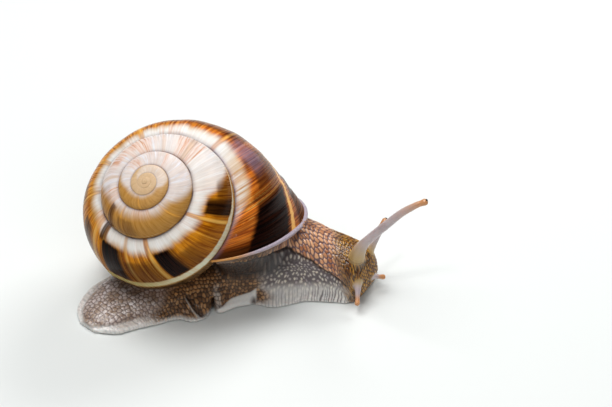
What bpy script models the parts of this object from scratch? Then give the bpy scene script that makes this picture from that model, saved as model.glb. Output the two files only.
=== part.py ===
"""A banded garden snail, life size, crawling with its body and feelers stretched out.

The frame has +Z up and the sole flat on Z = 0. The snail crawls towards +X, its right side faces -Y,
and the origin is the middle of the whole model's box, at floor level. Sizes below are in millimetres.
The shell is one right-handed coil, parted by a thin cut below the spire, with a rim along its lip.
The flesh is modelled whole, cleared from the shell and parted by thin upright and level cuts.
"""

import math

import bmesh
import bpy
import numpy as np
from mathutils import Vector

MM = 0.001
GAP = 0.3

# Shell. A turn is one winding of the suture, counted from the first whorl. The suture's radius and
# its depth below the apex fall off from the outermost winding by the rates of a cubic in turns.
OUTER_TURN = 5.12
OUTER_RADIUS = 25.0
OUTER_DEPTH = 30.7
RADIUS_RATES = (0.3003, 0.0996, -0.0085)
DEPTH_RATES = (0.5923, 0.2335, -0.0343)
LIP_TURN = 4.145
SHOULDER_LAG = 0.137
BASE_LAG = 0.13
BASE_DEPTH_RATIO = 0.40
COLUMELLA_RATIO = 0.42
SHOULDER_FULLNESS = 2.1
BASE_FULLNESS = 2.4
LIP_FLARE = 1.7
FLARE_TURNS = 0.12
FLARE_POWER = 1.5
FLARE_FULLNESS = 1.2
STEPS_PER_TURN = 36
SHOULDER_STEPS = 5
BASE_STEPS = 7
SPIRE_CUT_DEPTH = 7.5
CUT_REACH = 75.0
CUT_SIDES = 24
LIP_THICKNESS = 1.4
APEX = (-22.9, -13.4, 33.6)
AXIS_ELEVATION = math.radians(54.7)
AXIS_HEADING = math.radians(-117.9)
COIL_PHASE = math.radians(21.8)

# Trunk, from the tail's end to the snout: place along the floor, half-width of the sole, half-width
# of the trunk above it, and height.
TRUNK = (
    (-36.4, -21.4, 2.4, 1.6, 1.7),
    (-33.8, -18.6, 6.8, 5.0, 2.9),
    (-28.0, -12.8, 9.8, 7.6, 4.6),
    (-19.0, -7.4, 10.6, 8.6, 7.0),
    (-8.0, -3.8, 10.5, 8.6, 8.4),
    (2.0, -3.1, 10.4, 8.0, 11.0),
    (10.0, -3.2, 9.4, 7.3, 14.5),
    (15.5, -4.4, 8.2, 6.6, 12.8),
    (19.8, -6.0, 7.3, 6.0, 11.9),
    (22.8, -7.8, 6.2, 5.4, 11.3),
    (24.3, -8.9, 4.4, 4.1, 8.8),
    (25.2, -9.6, 2.2, 2.3, 5.6),
)
TRUNK_RINGS = 50
SOLE_RIM = 1.3
TRUNK_WAIST = 0.42
WAIST_BLEND = 0.6
BACK_STEPS = 6

# The flat sole and its thin edge, as shares of the sole's half-width and of the edge's height.
EDGE_PROFILE = ((0.0, 0.0), (0.5, 0.0), (0.93, 0.0), (1.0, 0.4), (0.985, 0.8), (0.93, 1.0))

# Uneven lobes of the right edge: place along the floor and outward shift, which fades with height.
EDGE_LOBES = (
    (-18.0, 0.0), (-16.2, 0.7), (-14.4, 2.3), (-12.8, 3.1), (-11.4, 2.5), (-9.5, 0.6), (-7.2, 1.5),
    (-5.4, 0.8), (-3.6, 0.1), (-1.2, -0.3), (0.8, 0.0), (2.6, 0.9), (4.6, 1.2), (7.0, 0.8), (10.0, 0.0),
)
LOBE_HEIGHT = 5.2
LOBE_START = 0.25
LOBE_FULL = 0.85

# The chin rises from the floor at this slope, ahead of a line across the snout.
CHIN_START = (23.4, -9.4)
CHIN_HEADING = math.radians(-28.1)
CHIN_SLOPE = 2.0
CHIN_LENGTH = 5.0
CHIN_HALF_WIDTH = 8.0

# Cuts across the trunk, as shares of its length, and the two level cuts.
TAIL_CUT = 0.17
REAR_CUT = 0.285
FRONT_CUT = 0.51
HEAD_CUT = 0.71
CREASE_HEIGHT = 5.4
CELL_REACH = 19.0
CELL_BEYOND = 12.0
CELL_FLOOR = -5.0
CELL_TOP = 60.0
CELL_STEPS = 100

# Room left round the shell for the flesh.
SHELL_ROOM = 0.4

# Mantle collar, which fills the shell's mouth, and the stalk that joins it to the foot.
COLLAR_DEPTH = 2.6
COLLAR_SHARE = 0.86
COLLAR_CORE = 0.5
COLLAR_SWELL = 0.02
COLLAR_TAPER = 0.04
MOUTH_HALF_SIZE = 10.0
STALK_CLEARANCE = 0.5
STALK_SHARE = 0.81
STALK_FOOT = (-1.0, -3.2, 4.0)
STALK_HALF_SIZE = (9.5, 8.0)
STALK_RINGS = 6

# Feelers from the root: place and radius of each station.
UPPER_RIGHT = (
    (21.8, -9.4, 9.0, 1.60),
    (22.1, -9.8, 10.4, 1.60),
    (22.5, -10.1, 12.4, 1.52),
    (23.2, -10.4, 14.2, 1.24),
    (24.2, -10.7, 15.8, 1.02),
    (26.2, -11.2, 18.4, 0.94),
    (28.2, -11.7, 20.8, 0.92),
    (31.2, -12.2, 24.2, 0.84),
    (34.2, -12.6, 26.6, 0.70),
    (35.5, -12.7, 27.3, 0.64),
)
UPPER_LEFT = (
    (24.4, -5.8, 8.8, 1.30),
    (25.1, -5.1, 10.0, 1.16),
    (26.1, -4.3, 11.7, 0.98),
    (27.2, -3.4, 13.3, 0.82),
    (28.0, -2.7, 14.4, 0.72),
)
LOWER_RIGHT = (
    (22.2, -11.2, 5.8, 1.00),
    (22.3, -12.6, 5.0, 0.86),
    (22.3, -13.9, 4.0, 0.60),
    (22.2, -15.3, 2.9, 0.52),
)
LOWER_LEFT = (
    (23.4, -9.3, 4.7, 0.78),
    (24.8, -8.8, 4.5, 0.62),
    (26.2, -8.4, 4.2, 0.52),
    (27.5, -8.1, 3.9, 0.50),
)
RIGHT_CUTS = (0.33, 0.66)
LEFT_CUTS = (0.5,)
UPPER_BULB = 0.80
LOWER_BULB = 0.60
BULB_SET = 0.9
CAP_STEPS = 7
EYE_RADIUS = 0.38
EYE_SINK = 0.24
EYE_TILT = 0.7
EYE_SIDES = 10
EYE_RINGS = 7
FEELER_RINGS = 8
FEELER_SIDES = 10
ROOT_CLEARANCE = 0.05
ROOT_REACH = 0.9

CUTTER_GREY = (0.5, 0.5, 0.5)
SATIN = 0.5


def clear_scene():
    for old in list(bpy.data.objects):
        bpy.data.objects.remove(old, do_unlink=True)


def new_collection(name):
    collection = bpy.data.collections.new(name)
    bpy.context.scene.collection.children.link(collection)
    return collection


def new_material(name, colour, roughness):
    material = bpy.data.materials.new(name)
    material.use_nodes = True
    shader = material.node_tree.nodes["Principled BSDF"]
    shader.inputs["Base Color"].default_value = (*colour, 1.0)
    shader.inputs["Roughness"].default_value = roughness
    shader.inputs["Metallic"].default_value = 0.0
    return material


def make_solid(name, points, faces, material, collection):
    """One closed mesh object from points in millimetres, with its faces turned outwards."""
    mesh = bpy.data.meshes.new(name)
    mesh.from_pydata([tuple(float(value) * MM for value in point) for point in points], [], faces)
    shaped = bmesh.new()
    shaped.from_mesh(mesh)
    bmesh.ops.recalc_face_normals(shaped, faces=shaped.faces)
    bmesh.ops.triangulate(shaped, faces=shaped.faces)
    shaped.to_mesh(mesh)
    shaped.free()
    mesh.shade_smooth()
    mesh.materials.append(material)
    solid = bpy.data.objects.new(name, mesh)
    collection.objects.link(solid)
    return solid


def add_boolean(solid, cutter, operation, solver="EXACT"):
    modifier = solid.modifiers.new(f"{operation.lower()}_{cutter.name}", "BOOLEAN")
    modifier.operation = operation
    modifier.solver = solver
    modifier.object = cutter


def hide_as_cutter(cutter):
    cutter.hide_render = True
    cutter.display_type = "WIRE"
    return cutter


def baked(solid, name, material, collection):
    """A new object that holds the other one's mesh with its modifiers worked in."""
    bpy.context.view_layer.update()
    graph = bpy.context.evaluated_depsgraph_get()
    mesh = bpy.data.meshes.new_from_object(solid.evaluated_get(graph))
    mesh.name = name
    mesh.materials.clear()
    mesh.materials.append(material)
    copy = bpy.data.objects.new(name, mesh)
    collection.objects.link(copy)
    return copy


def swollen(solid, name, growth, collection):
    """A cutter in the solid's shape, grown outwards by growth millimetres."""
    cutter = baked(solid, name, solid.data.materials[0], collection)
    modifier = cutter.modifiers.new("grow", "DISPLACE")
    modifier.mid_level = 0.0
    modifier.strength = growth * MM
    return hide_as_cutter(cutter)


def ring_faces(first, second, count):
    """Quads between two closed rings that start at these indices."""
    faces = []
    for step in range(count):
        after = (step + 1) % count
        faces.append((first + step, first + after, second + after, second + step))
    return faces


def fan_faces(loop, centre):
    """Triangles from each edge of a closed loop of indices to one more."""
    after = loop[1:] + loop[:1]
    return [(here, there, centre) for here, there in zip(loop, after)]


def loft(name, rings, material, collection):
    """A closed solid through rings of equal length, with a fan over each end."""
    count = len(rings[0])
    points = [point for ring in rings for point in ring]
    faces = []
    for index in range(len(rings) - 1):
        faces += ring_faces(index * count, (index + 1) * count, count)
    for ring_index in (0, len(rings) - 1):
        points.append(np.mean(rings[ring_index], axis=0))
        loop = list(range(ring_index * count, (ring_index + 1) * count))
        faces += fan_faces(loop, len(points) - 1)
    return make_solid(name, points, faces, material, collection)


# ------------------------------------------------------------------------------------------- shell


def coil_size(turn, outer, rates):
    """The suture's radius or depth at this turn."""
    left = OUTER_TURN - turn
    return outer * np.exp(-(rates[0] * left + rates[1] * left**2 + rates[2] * left**3))


def coil_radius(turn):
    return coil_size(turn, OUTER_RADIUS, RADIUS_RATES)


def coil_depth(turn):
    return coil_size(turn, OUTER_DEPTH, DEPTH_RATES)


def shell_axes():
    """Unit vectors: along the axis to the apex, level across it, and square to both."""
    axis = np.array(
        (
            math.cos(AXIS_ELEVATION) * math.cos(AXIS_HEADING),
            math.cos(AXIS_ELEVATION) * math.sin(AXIS_HEADING),
            math.sin(AXIS_ELEVATION),
        )
    )
    level = np.cross((0.0, 0.0, 1.0), axis)
    level /= np.linalg.norm(level)
    return axis, level, np.cross(axis, level)


def coil_point(radius, depth, turn):
    axis, level, square = shell_axes()
    angle = COIL_PHASE - 2 * math.pi * turn
    outward = math.cos(angle) * level + math.sin(angle) * square
    return np.array(APEX) + radius * outward - depth * axis


def shoulder_point(turn, share):
    """On the outer wall, from the suture (share 0) round the shoulder to the widest line (share 1)."""
    bend = (1 - share) * math.pi / 2
    power = 2 / SHOULDER_FULLNESS
    inner, outer = coil_radius(turn), coil_radius(turn + 1)
    top, bottom = coil_depth(turn), coil_depth(turn + 1)
    radius = inner + (outer - inner) * math.cos(bend) ** power
    depth = bottom - (bottom - top) * math.sin(bend) ** power
    return radius, depth


def base_point(turn, share):
    """On the underside, from the widest line (share 0) in to the columella (share 1)."""
    bend = share * math.pi / 2
    power = 2 / BASE_FULLNESS
    outer = coil_radius(turn + 1)
    inwards = max(0.0, math.cos(bend)) ** power
    radius = outer * (COLUMELLA_RATIO + (1 - COLUMELLA_RATIO) * inwards)
    depth = coil_depth(turn + 1) + BASE_DEPTH_RATIO * outer * math.sin(bend) ** power
    return radius, depth


def slanted_turn(turn, shoulder_share, base_share):
    """Growth lines lag behind away from the suture, by the full amount at the lip."""
    grown = max(0.0, turn - (LIP_TURN - 1))
    return turn - grown * (SHOULDER_LAG * shoulder_share + BASE_LAG * base_share)


def lip_flare(turn):
    """How far the wall turns outwards as it nears the lip."""
    return LIP_FLARE * max(0.0, 1 - (LIP_TURN - turn) / FLARE_TURNS) ** FLARE_POWER


def shoulder_place(turn, share):
    slanted = slanted_turn(turn, share, 0.0)
    radius, depth = shoulder_point(slanted, share)
    return coil_point(radius + lip_flare(turn) * share**3, depth, slanted)


def base_place(turn, share):
    slanted = slanted_turn(turn, 1.0, share)
    radius, depth = base_point(slanted, share)
    bend = share * math.pi / 2
    spread = math.cos(bend) + FLARE_FULLNESS * math.sin(2 * bend)
    return coil_point(radius + lip_flare(turn) * spread, depth, slanted)


def axis_place(turn):
    return coil_point(0.0, base_point(slanted_turn(turn, 1.0, 1.0), 1.0)[1], turn)


def build_shell(material, collection):
    """The whole coil as one strip that winds down from the apex and closes over the base and mouth.

    The outer edge of each winding is the inner edge of the next, so those points are shared.
    """
    last_row = int(LIP_TURN * STEPS_PER_TURN)
    first_open = last_row - STEPS_PER_TURN
    turns = [LIP_TURN - (last_row - row) / STEPS_PER_TURN for row in range(last_row + 1)]
    points, shoulder, base, axis = [], {}, {}, {}
    for row, turn in enumerate(turns):
        steps = SHOULDER_STEPS if row <= first_open else SHOULDER_STEPS + 1
        for step in range(steps):
            shoulder[row, step] = len(points)
            points.append(shoulder_place(turn, step / SHOULDER_STEPS))
    for row in range(first_open + 1):
        shoulder[row, SHOULDER_STEPS] = shoulder[row + STEPS_PER_TURN, 0]
    for row in range(first_open, last_row + 1):
        base[row, 0] = shoulder[row, SHOULDER_STEPS]
        for step in range(1, BASE_STEPS + 1):
            base[row, step] = len(points)
            points.append(base_place(turns[row], step / BASE_STEPS))
        axis[row] = len(points)
        points.append(axis_place(turns[row]))
    faces = []
    for row in range(last_row):
        for step in range(SHOULDER_STEPS):
            corners = ((row, step), (row + 1, step), (row + 1, step + 1), (row, step + 1))
            faces.append(tuple(shoulder[corner] for corner in corners))
    for row in range(first_open, last_row):
        for step in range(BASE_STEPS):
            corners = ((row, step), (row + 1, step), (row + 1, step + 1), (row, step + 1))
            faces.append(tuple(base[corner] for corner in corners))
        faces.append((base[row, BASE_STEPS], base[row + 1, BASE_STEPS], axis[row + 1], axis[row]))
    crown = [shoulder[row, 0] for row in range(STEPS_PER_TURN + 1)]
    crown += [shoulder[0, step] for step in range(SHOULDER_STEPS - 1, 0, -1)]
    points.append(np.array(APEX))
    faces += fan_faces(crown, len(points) - 1)
    mouth = [shoulder[last_row, step] for step in range(SHOULDER_STEPS)]
    mouth += [base[last_row, step] for step in range(BASE_STEPS + 1)]
    mouth += [axis[row] for row in range(last_row, first_open - 1, -1)]
    mouth += [base[first_open, step] for step in range(BASE_STEPS, 0, -1)]
    points.append(mouth_centre())
    faces += fan_faces(mouth, len(points) - 1)
    return make_solid("shell_whole", points, faces, material, collection)


def lip_line():
    """The free edge of the shell's mouth, from the suture round to the columella."""
    shoulder = [shoulder_place(LIP_TURN, step / SHOULDER_STEPS) for step in range(SHOULDER_STEPS)]
    base = [base_place(LIP_TURN, step / BASE_STEPS) for step in range(BASE_STEPS + 1)]
    return shoulder + base


def mouth_loop():
    """The lip's line, closed along the wall of the winding before it."""
    inner_turn = LIP_TURN - 1
    wall = [base_place(inner_turn, step / BASE_STEPS) for step in range(BASE_STEPS, 1, -1)]
    return lip_line() + wall


def mouth_centre():
    return np.mean(mouth_loop(), axis=0)


def mouth_normal():
    """Out of the shell's mouth, square to the plane that lies closest to its loop."""
    loop = np.array(mouth_loop()) - mouth_centre()
    normal = np.linalg.svd(loop)[2][2]
    return -normal if normal[2] > 0 else normal


def slab_cutter(name, top, bottom, collection):
    """A round block along the shell's axis, between two depths below the apex."""
    shape = bmesh.new()
    bmesh.ops.create_cone(
        shape,
        cap_ends=True,
        segments=CUT_SIDES,
        radius1=CUT_REACH * MM,
        radius2=CUT_REACH * MM,
        depth=(bottom - top) * MM,
    )
    mesh = bpy.data.meshes.new(name)
    shape.to_mesh(mesh)
    shape.free()
    cutter = bpy.data.objects.new(name, mesh)
    axis = Vector(shell_axes()[0])
    middle = Vector(APEX) - axis * (top + bottom) / 2
    cutter.rotation_mode = "QUATERNION"
    cutter.rotation_quaternion = axis.to_track_quat("Z", "Y")
    cutter.location = middle * MM
    collection.objects.link(cutter)
    return hide_as_cutter(cutter)


def part_shell(whole, material, collection, cutters):
    depths = {
        "shell_spire": (-CUT_REACH, SPIRE_CUT_DEPTH),
        "shell_body_whorl": (SPIRE_CUT_DEPTH + GAP, CUT_REACH),
    }
    for name, (top, bottom) in depths.items():
        piece = baked(whole, name, material, collection)
        add_boolean(piece, slab_cutter(f"cut_{name}", top, bottom, cutters), "INTERSECT")


def build_lip(material, collection):
    """The thickened rim along the free edge of the shell's mouth."""
    offset = mouth_normal() * (GAP + LIP_THICKNESS / 2)
    centres = [place + offset for place in lip_line()]
    radii = [LIP_THICKNESS / 2] * len(centres)
    return tube("shell_lip", centres, radii, FEELER_SIDES, material, collection)


# ------------------------------------------------------------------------------------------- flesh


def read_track(stations, places):
    """Rows read from a smooth curve through the stations, at places counted in stations."""
    table = np.array(stations, dtype=float)
    padded = np.vstack((2 * table[0] - table[1], table, 2 * table[-1] - table[-2]))
    rows = []
    for place in places:
        index = min(max(int(place), 0), len(table) - 2)
        t = place - index
        a, b, c, d = padded[index : index + 4]
        slope = c - a
        bend = 2 * a - 5 * b + 4 * c - d
        twist = 3 * b - a - 3 * c + d
        rows.append(0.5 * (2 * b + slope * t + bend * t**2 + twist * t**3))
    return np.array(rows)


def smooth_track(stations, count):
    """Count rows read at even steps along the stations."""
    return read_track(stations, np.linspace(0, len(stations) - 1, count))


def trunk_track():
    return smooth_track(TRUNK, TRUNK_RINGS)


def sideways(track):
    """Level unit vectors to the left of the track at each of its rows."""
    heading = np.gradient(track[:, :2], axis=0)
    heading /= np.linalg.norm(heading, axis=1)[:, None]
    return np.column_stack((-heading[:, 1], heading[:, 0], np.zeros(len(track))))


def trunk_outline(sole, trunk, height):
    """Half of a cross-section, as (sideways, up): flat sole, thin edge, waist and rounded back."""
    rim = min(SOLE_RIM, 0.5 * height)
    waist = TRUNK_WAIST * height
    half = [(across * sole, up * rim) for across, up in EDGE_PROFILE]
    edge = EDGE_PROFILE[-1][0] * sole
    half.append((WAIST_BLEND * trunk + (1 - WAIST_BLEND) * edge, (rim + max(waist, rim)) / 2))
    for step in range(BACK_STEPS):
        bend = step * math.pi / 2 / BACK_STEPS
        half.append((trunk * math.cos(bend), waist + (height - waist) * math.sin(bend)))
    half.append((0.0, height))
    return half


def lobe_shift(x, across, rise, sole):
    """How far the right edge's lobes push this point outwards."""
    shift = np.interp(x, *zip(*EDGE_LOBES))
    outer = np.clip((across / sole - LOBE_START) / (LOBE_FULL - LOBE_START), 0.0, 1.0)
    return shift * outer * max(0.0, 1 - rise / LOBE_HEIGHT)


def trunk_ring(row, side):
    x, y, sole, trunk, height = row
    half = trunk_outline(sole, trunk, height)
    centre = np.array((x, y, 0.0))
    up = np.array((0.0, 0.0, 1.0))
    left = [centre + side * across + up * rise for across, rise in half]
    right = []
    for across, rise in half[-2:0:-1]:
        shifted = across + lobe_shift(x, across, rise, sole)
        right.append(centre - side * shifted + up * rise)
    return left + right


def build_trunk(material, collection):
    track = trunk_track()
    rings = [trunk_ring(row, side) for row, side in zip(track, sideways(track))]
    return loft("trunk_whole", rings, material, collection)


def chin_cutter(collection):
    """A wedge below the face, ahead of the sole."""
    heading = np.array((math.cos(CHIN_HEADING), math.sin(CHIN_HEADING), 0.0))
    aside = np.array((-heading[1], heading[0], 0.0)) * CHIN_HALF_WIDTH
    up = np.array((0.0, 0.0, 1.0))
    start = np.array((*CHIN_START, 0.0)) - (heading + CHIN_SLOPE * up)
    front = start + heading * CHIN_LENGTH
    top = front + up * CHIN_SLOPE * CHIN_LENGTH
    points = [corner + way * aside for way in (-1, 1) for corner in (start, front, top)]
    faces = [(0, 1, 2), (5, 4, 3), (0, 3, 4, 1), (1, 4, 5, 2), (2, 5, 3, 0)]
    material = new_material("cut_chin", CUTTER_GREY, SATIN)
    return hide_as_cutter(make_solid("cut_chin", points, faces, material, collection))


def mouth_ring(depth, share):
    """The shell mouth's loop, drawn in towards its centre and moved out of the mouth."""
    centre = mouth_centre()
    offset = mouth_normal() * depth
    return [centre + (place - centre) * share + offset for place in mouth_loop()]


def build_collar(name, grown, material, collection):
    """The mantle's thick edge, as a slightly crowned plug just outside the shell's mouth."""
    top, bottom = SHELL_ROOM - grown, SHELL_ROOM + COLLAR_DEPTH + grown
    wider = grown / MOUTH_HALF_SIZE
    rings = [
        mouth_ring(top, COLLAR_CORE),
        mouth_ring(top, COLLAR_SHARE + wider),
        mouth_ring((top + bottom) / 2, COLLAR_SHARE + COLLAR_SWELL + wider),
        mouth_ring(bottom, COLLAR_SHARE - COLLAR_TAPER + wider),
        mouth_ring(bottom, COLLAR_CORE),
    ]
    return loft(name, rings, material, collection)


def build_stalk(material, collection):
    """From the collar down into the foot, narrowing from the mouth's shape to an oval."""
    top = np.array(mouth_ring(GAP + COLLAR_DEPTH + STALK_CLEARANCE, STALK_SHARE))
    centre = mouth_centre()
    angles = [math.atan2(place[1] - centre[1], place[0] - centre[0]) for place in top]
    foot = np.array(
        [
            (
                STALK_FOOT[0] + STALK_HALF_SIZE[0] * math.cos(angle),
                STALK_FOOT[1] + STALK_HALF_SIZE[1] * math.sin(angle),
                STALK_FOOT[2],
            )
            for angle in angles
        ]
    )
    shares = [step / (STALK_RINGS - 1) for step in range(STALK_RINGS)]
    rings = [top * (1 - share) + foot * share for share in shares]
    return loft("stalk_whole", [list(ring) for ring in rings], material, collection)


def cell_cutter(name, start, end, low, high, collection):
    """An upright block between two shares of the trunk's length and two heights."""
    track = smooth_track(TRUNK, CELL_STEPS + 1)
    sides = sideways(track)
    corners = []
    for share in (start, end):
        index = round(min(max(share, 0.0), 1.0) * CELL_STEPS)
        heading = np.array((sides[index][1], -sides[index][0], 0.0))
        beyond = CELL_BEYOND * (min(share, 0.0) + max(share - 1.0, 0.0))
        trim = GAP / 2 if share == start else -GAP / 2
        middle = np.array((*track[index, :2], 0.0)) + heading * (beyond + trim)
        corners += [middle - CELL_REACH * sides[index], middle + CELL_REACH * sides[index]]
    outline = (corners[0], corners[1], corners[3], corners[2])
    points = [(x, y, level) for level in (low, high) for x, y, _ in outline]
    faces = [(0, 1, 2, 3), (7, 6, 5, 4)]
    for step in range(4):
        after = (step + 1) % 4
        faces.append((step, after, after + 4, step + 4))
    material = new_material(name, CUTTER_GREY, SATIN)
    return hide_as_cutter(make_solid(name, points, faces, material, collection))


def part_flesh(whole, materials, collection, cutters):
    """Cut the whole flesh into the parts that a person would name."""
    low, high = CELL_FLOOR, CELL_TOP
    crease = (CREASE_HEIGHT - GAP / 2, CREASE_HEIGHT + GAP / 2)
    cells = {
        "tail": (-1.0, TAIL_CUT, low, high, "tail"),
        "foot_rear": (TAIL_CUT, REAR_CUT, low, high, "foot"),
        "foot_middle": (REAR_CUT, FRONT_CUT, low, crease[0], "foot"),
        "stalk": (REAR_CUT, FRONT_CUT, crease[1], high, "mantle"),
        "foot_front": (FRONT_CUT, HEAD_CUT, low, crease[0], "foot"),
        "neck": (FRONT_CUT, HEAD_CUT, crease[1], high, "neck"),
        "head": (HEAD_CUT, 2.0, low, high, "head"),
    }
    pieces = {}
    for name, (start, end, bottom, top, slot) in cells.items():
        piece = baked(whole, name, materials[slot], collection)
        cutter = cell_cutter(f"cell_{name}", start, end, bottom, top, cutters)
        add_boolean(piece, cutter, "INTERSECT")
        pieces[name] = piece
    return pieces


# ----------------------------------------------------------------------------------------- feelers


def tube(name, centres, radii, sides, material, collection):
    """A round tube of changing radius along the centres, with closed ends."""
    centres = np.array(centres)
    heading = np.gradient(centres, axis=0)
    heading /= np.linalg.norm(heading, axis=1)[:, None]
    across = np.cross(heading[0], (0.0, 0.0, 1.0))
    rings = []
    for centre, radius, along in zip(centres, radii, heading):
        across = across - along * np.dot(across, along)
        across /= np.linalg.norm(across)
        square = np.cross(along, across)
        ring = []
        for side in range(sides):
            angle = 2 * math.pi * side / sides
            ring.append(centre + radius * (math.cos(angle) * across + math.sin(angle) * square))
        rings.append(ring)
    return loft(name, rings, material, collection)


def feeler_line(feeler, shares):
    """Centres and radii along a feeler, at shares of the way through its stations."""
    rows = read_track(feeler, np.array(shares) * (len(feeler) - 1))
    return list(rows[:, :3]), list(rows[:, 3])


def gap_share(feeler, share):
    """Half of the gap at this share, as a share of the stations."""
    step = 0.01
    (before, after), _ = feeler_line(feeler, (share - step, share + step))
    return GAP / 2 * 2 * step / np.linalg.norm(after - before)


def rounded_tip(centres, radii, bulb):
    """The same line with its last rings drawn in to a rounded end of the bulb's radius."""
    along = centres[-1] - centres[-2]
    along = along / np.linalg.norm(along)
    neck_centre = centres[-1]
    for step in range(1, CAP_STEPS):
        bend = step * math.pi / CAP_STEPS
        centres.append(neck_centre + along * bulb * (1 - math.cos(bend)))
        radii.append(max(bulb * math.sin(bend), radii[-1] if bend < 1 else 0.0))
    return centres, radii


def build_feeler(name, feeler, cuts, bulb, material, collection):
    """A feeler in lengths parted by thin cuts at these shares, the last with a rounded bulb."""
    starts = [0.0] + [cut + gap_share(feeler, cut) for cut in cuts]
    ends = [cut - gap_share(feeler, cut) for cut in cuts] + [1.0]
    names = ["base", "shaft", "tip"] if len(cuts) == 2 else ["base", "tip"]
    pieces = []
    for index, (start, end) in enumerate(zip(starts, ends)):
        centres, radii = feeler_line(feeler, np.linspace(start, end, FEELER_RINGS))
        if index == len(cuts):
            centres, radii = rounded_tip(centres, radii, bulb)
        label = f"{name}_{names[index]}" if cuts else name
        pieces.append(tube(label, centres, radii, FEELER_SIDES, material, collection))
    return pieces


def root_cutter(name, feeler, collection):
    """Clears the head around a feeler's sunken root."""
    centres, radii = feeler_line(feeler, np.linspace(-ROOT_CLEARANCE, ROOT_REACH, FEELER_RINGS))
    radii = [radius + GAP for radius in radii]
    material = new_material(name, CUTTER_GREY, SATIN)
    return hide_as_cutter(tube(name, centres, radii, FEELER_SIDES, material, collection))


def ball(name, centre, radius, material, collection):
    shape = bmesh.new()
    bmesh.ops.create_uvsphere(
        shape, u_segments=EYE_SIDES, v_segments=EYE_RINGS, radius=radius * MM
    )
    mesh = bpy.data.meshes.new(name)
    shape.to_mesh(mesh)
    shape.free()
    mesh.shade_smooth()
    mesh.materials.append(material)
    solid = bpy.data.objects.new(name, mesh)
    solid.location = Vector(centre) * MM
    collection.objects.link(solid)
    return solid


def add_eye(name, feeler, tip_piece, material, collection, cutters):
    """A bead let into the upper outer end of a feeler's bulb."""
    before, tip = (np.array(station[:3]) for station in feeler[-2:])
    along = (tip - before) / np.linalg.norm(tip - before)
    outward = along + np.array((0.0, 0.0, EYE_TILT))
    outward /= np.linalg.norm(outward)
    centre = tip + along * UPPER_BULB * BULB_SET + outward * (UPPER_BULB - EYE_SINK)
    ball(name, centre, EYE_RADIUS, material, collection)
    socket = ball(f"socket_{name}", centre, EYE_RADIUS + GAP / 2, material, cutters)
    add_boolean(tip_piece, hide_as_cutter(socket), "DIFFERENCE")


# ---------------------------------------------------------------------------------------- assembly


def centre_on_floor(collections):
    """Move every object so that the middle of the model's box is the origin."""
    bpy.context.view_layer.update()
    graph = bpy.context.evaluated_depsgraph_get()
    places = []
    for solid in collections[0].objects:
        shaped = solid.evaluated_get(graph)
        places += [shaped.matrix_world @ vertex.co for vertex in shaped.to_mesh().vertices]
        shaped.to_mesh_clear()
    places = np.array([tuple(place) for place in places])
    low, high = places.min(axis=0), places.max(axis=0)
    shift = Vector((-(low[0] + high[0]) / 2, -(low[1] + high[1]) / 2, -low[2]))
    for collection in collections:
        for solid in collection.objects:
            solid.location += shift


def build_materials():
    return {
        "shell": new_material("shell_banded", (0.42, 0.22, 0.09), 0.25),
        "lip": new_material("shell_rim", (0.62, 0.55, 0.52), 0.35),
        "foot": new_material("foot_skin", (0.33, 0.27, 0.27), 0.45),
        "tail": new_material("tail_skin", (0.38, 0.29, 0.28), 0.45),
        "neck": new_material("neck_skin", (0.36, 0.22, 0.12), 0.45),
        "head": new_material("head_skin", (0.38, 0.25, 0.12), 0.45),
        "mantle": new_material("mantle_skin", (0.30, 0.22, 0.20), 0.45),
        "feeler": new_material("feeler_skin", (0.60, 0.45, 0.38), 0.4),
        "eye": new_material("eye_black", (0.02, 0.02, 0.02), 0.1),
    }


def main():
    clear_scene()
    snail = new_collection("garden_snail")
    cutters = new_collection("cutters")
    materials = build_materials()

    shell = hide_as_cutter(build_shell(materials["shell"], cutters))
    part_shell(shell, materials["shell"], snail, cutters)
    lip = build_lip(materials["lip"], snail)
    collar = build_collar("mantle_collar", 0.0, materials["mantle"], snail)
    shell_room = swollen(shell, "shell_room", SHELL_ROOM, cutters)
    lip_room = swollen(lip, "lip_room", GAP, cutters)
    add_boolean(collar, shell_room, "DIFFERENCE")
    add_boolean(collar, lip_room, "DIFFERENCE")
    collar_room = hide_as_cutter(build_collar("collar_room", GAP, materials["mantle"], cutters))

    trunk = hide_as_cutter(build_trunk(materials["foot"], cutters))
    stalk = hide_as_cutter(build_stalk(materials["mantle"], cutters))
    add_boolean(trunk, chin_cutter(cutters), "DIFFERENCE")
    add_boolean(trunk, stalk, "UNION")
    for room in (shell_room, lip_room, collar_room):
        add_boolean(trunk, room, "DIFFERENCE", "MANIFOLD")
    flesh = hide_as_cutter(baked(trunk, "flesh_whole", materials["foot"], cutters))
    pieces = part_flesh(flesh, materials, snail, cutters)

    feelers = {
        "upper_feeler_right": (UPPER_RIGHT, RIGHT_CUTS, UPPER_BULB),
        "upper_feeler_left": (UPPER_LEFT, LEFT_CUTS, UPPER_BULB),
        "lower_feeler_right": (LOWER_RIGHT, (), LOWER_BULB),
        "lower_feeler_left": (LOWER_LEFT, (), LOWER_BULB),
    }
    for name, (feeler, cuts, bulb) in feelers.items():
        lengths = build_feeler(name, feeler, cuts, bulb, materials["feeler"], snail)
        add_boolean(pieces["head"], root_cutter(f"root_{name}", feeler, cutters), "DIFFERENCE")
        if name.startswith("upper"):
            eye = name.replace("upper_feeler", "eye")
            add_eye(eye, feeler, lengths[-1], materials["eye"], snail, cutters)
    centre_on_floor((snail, cutters))


main()
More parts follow.
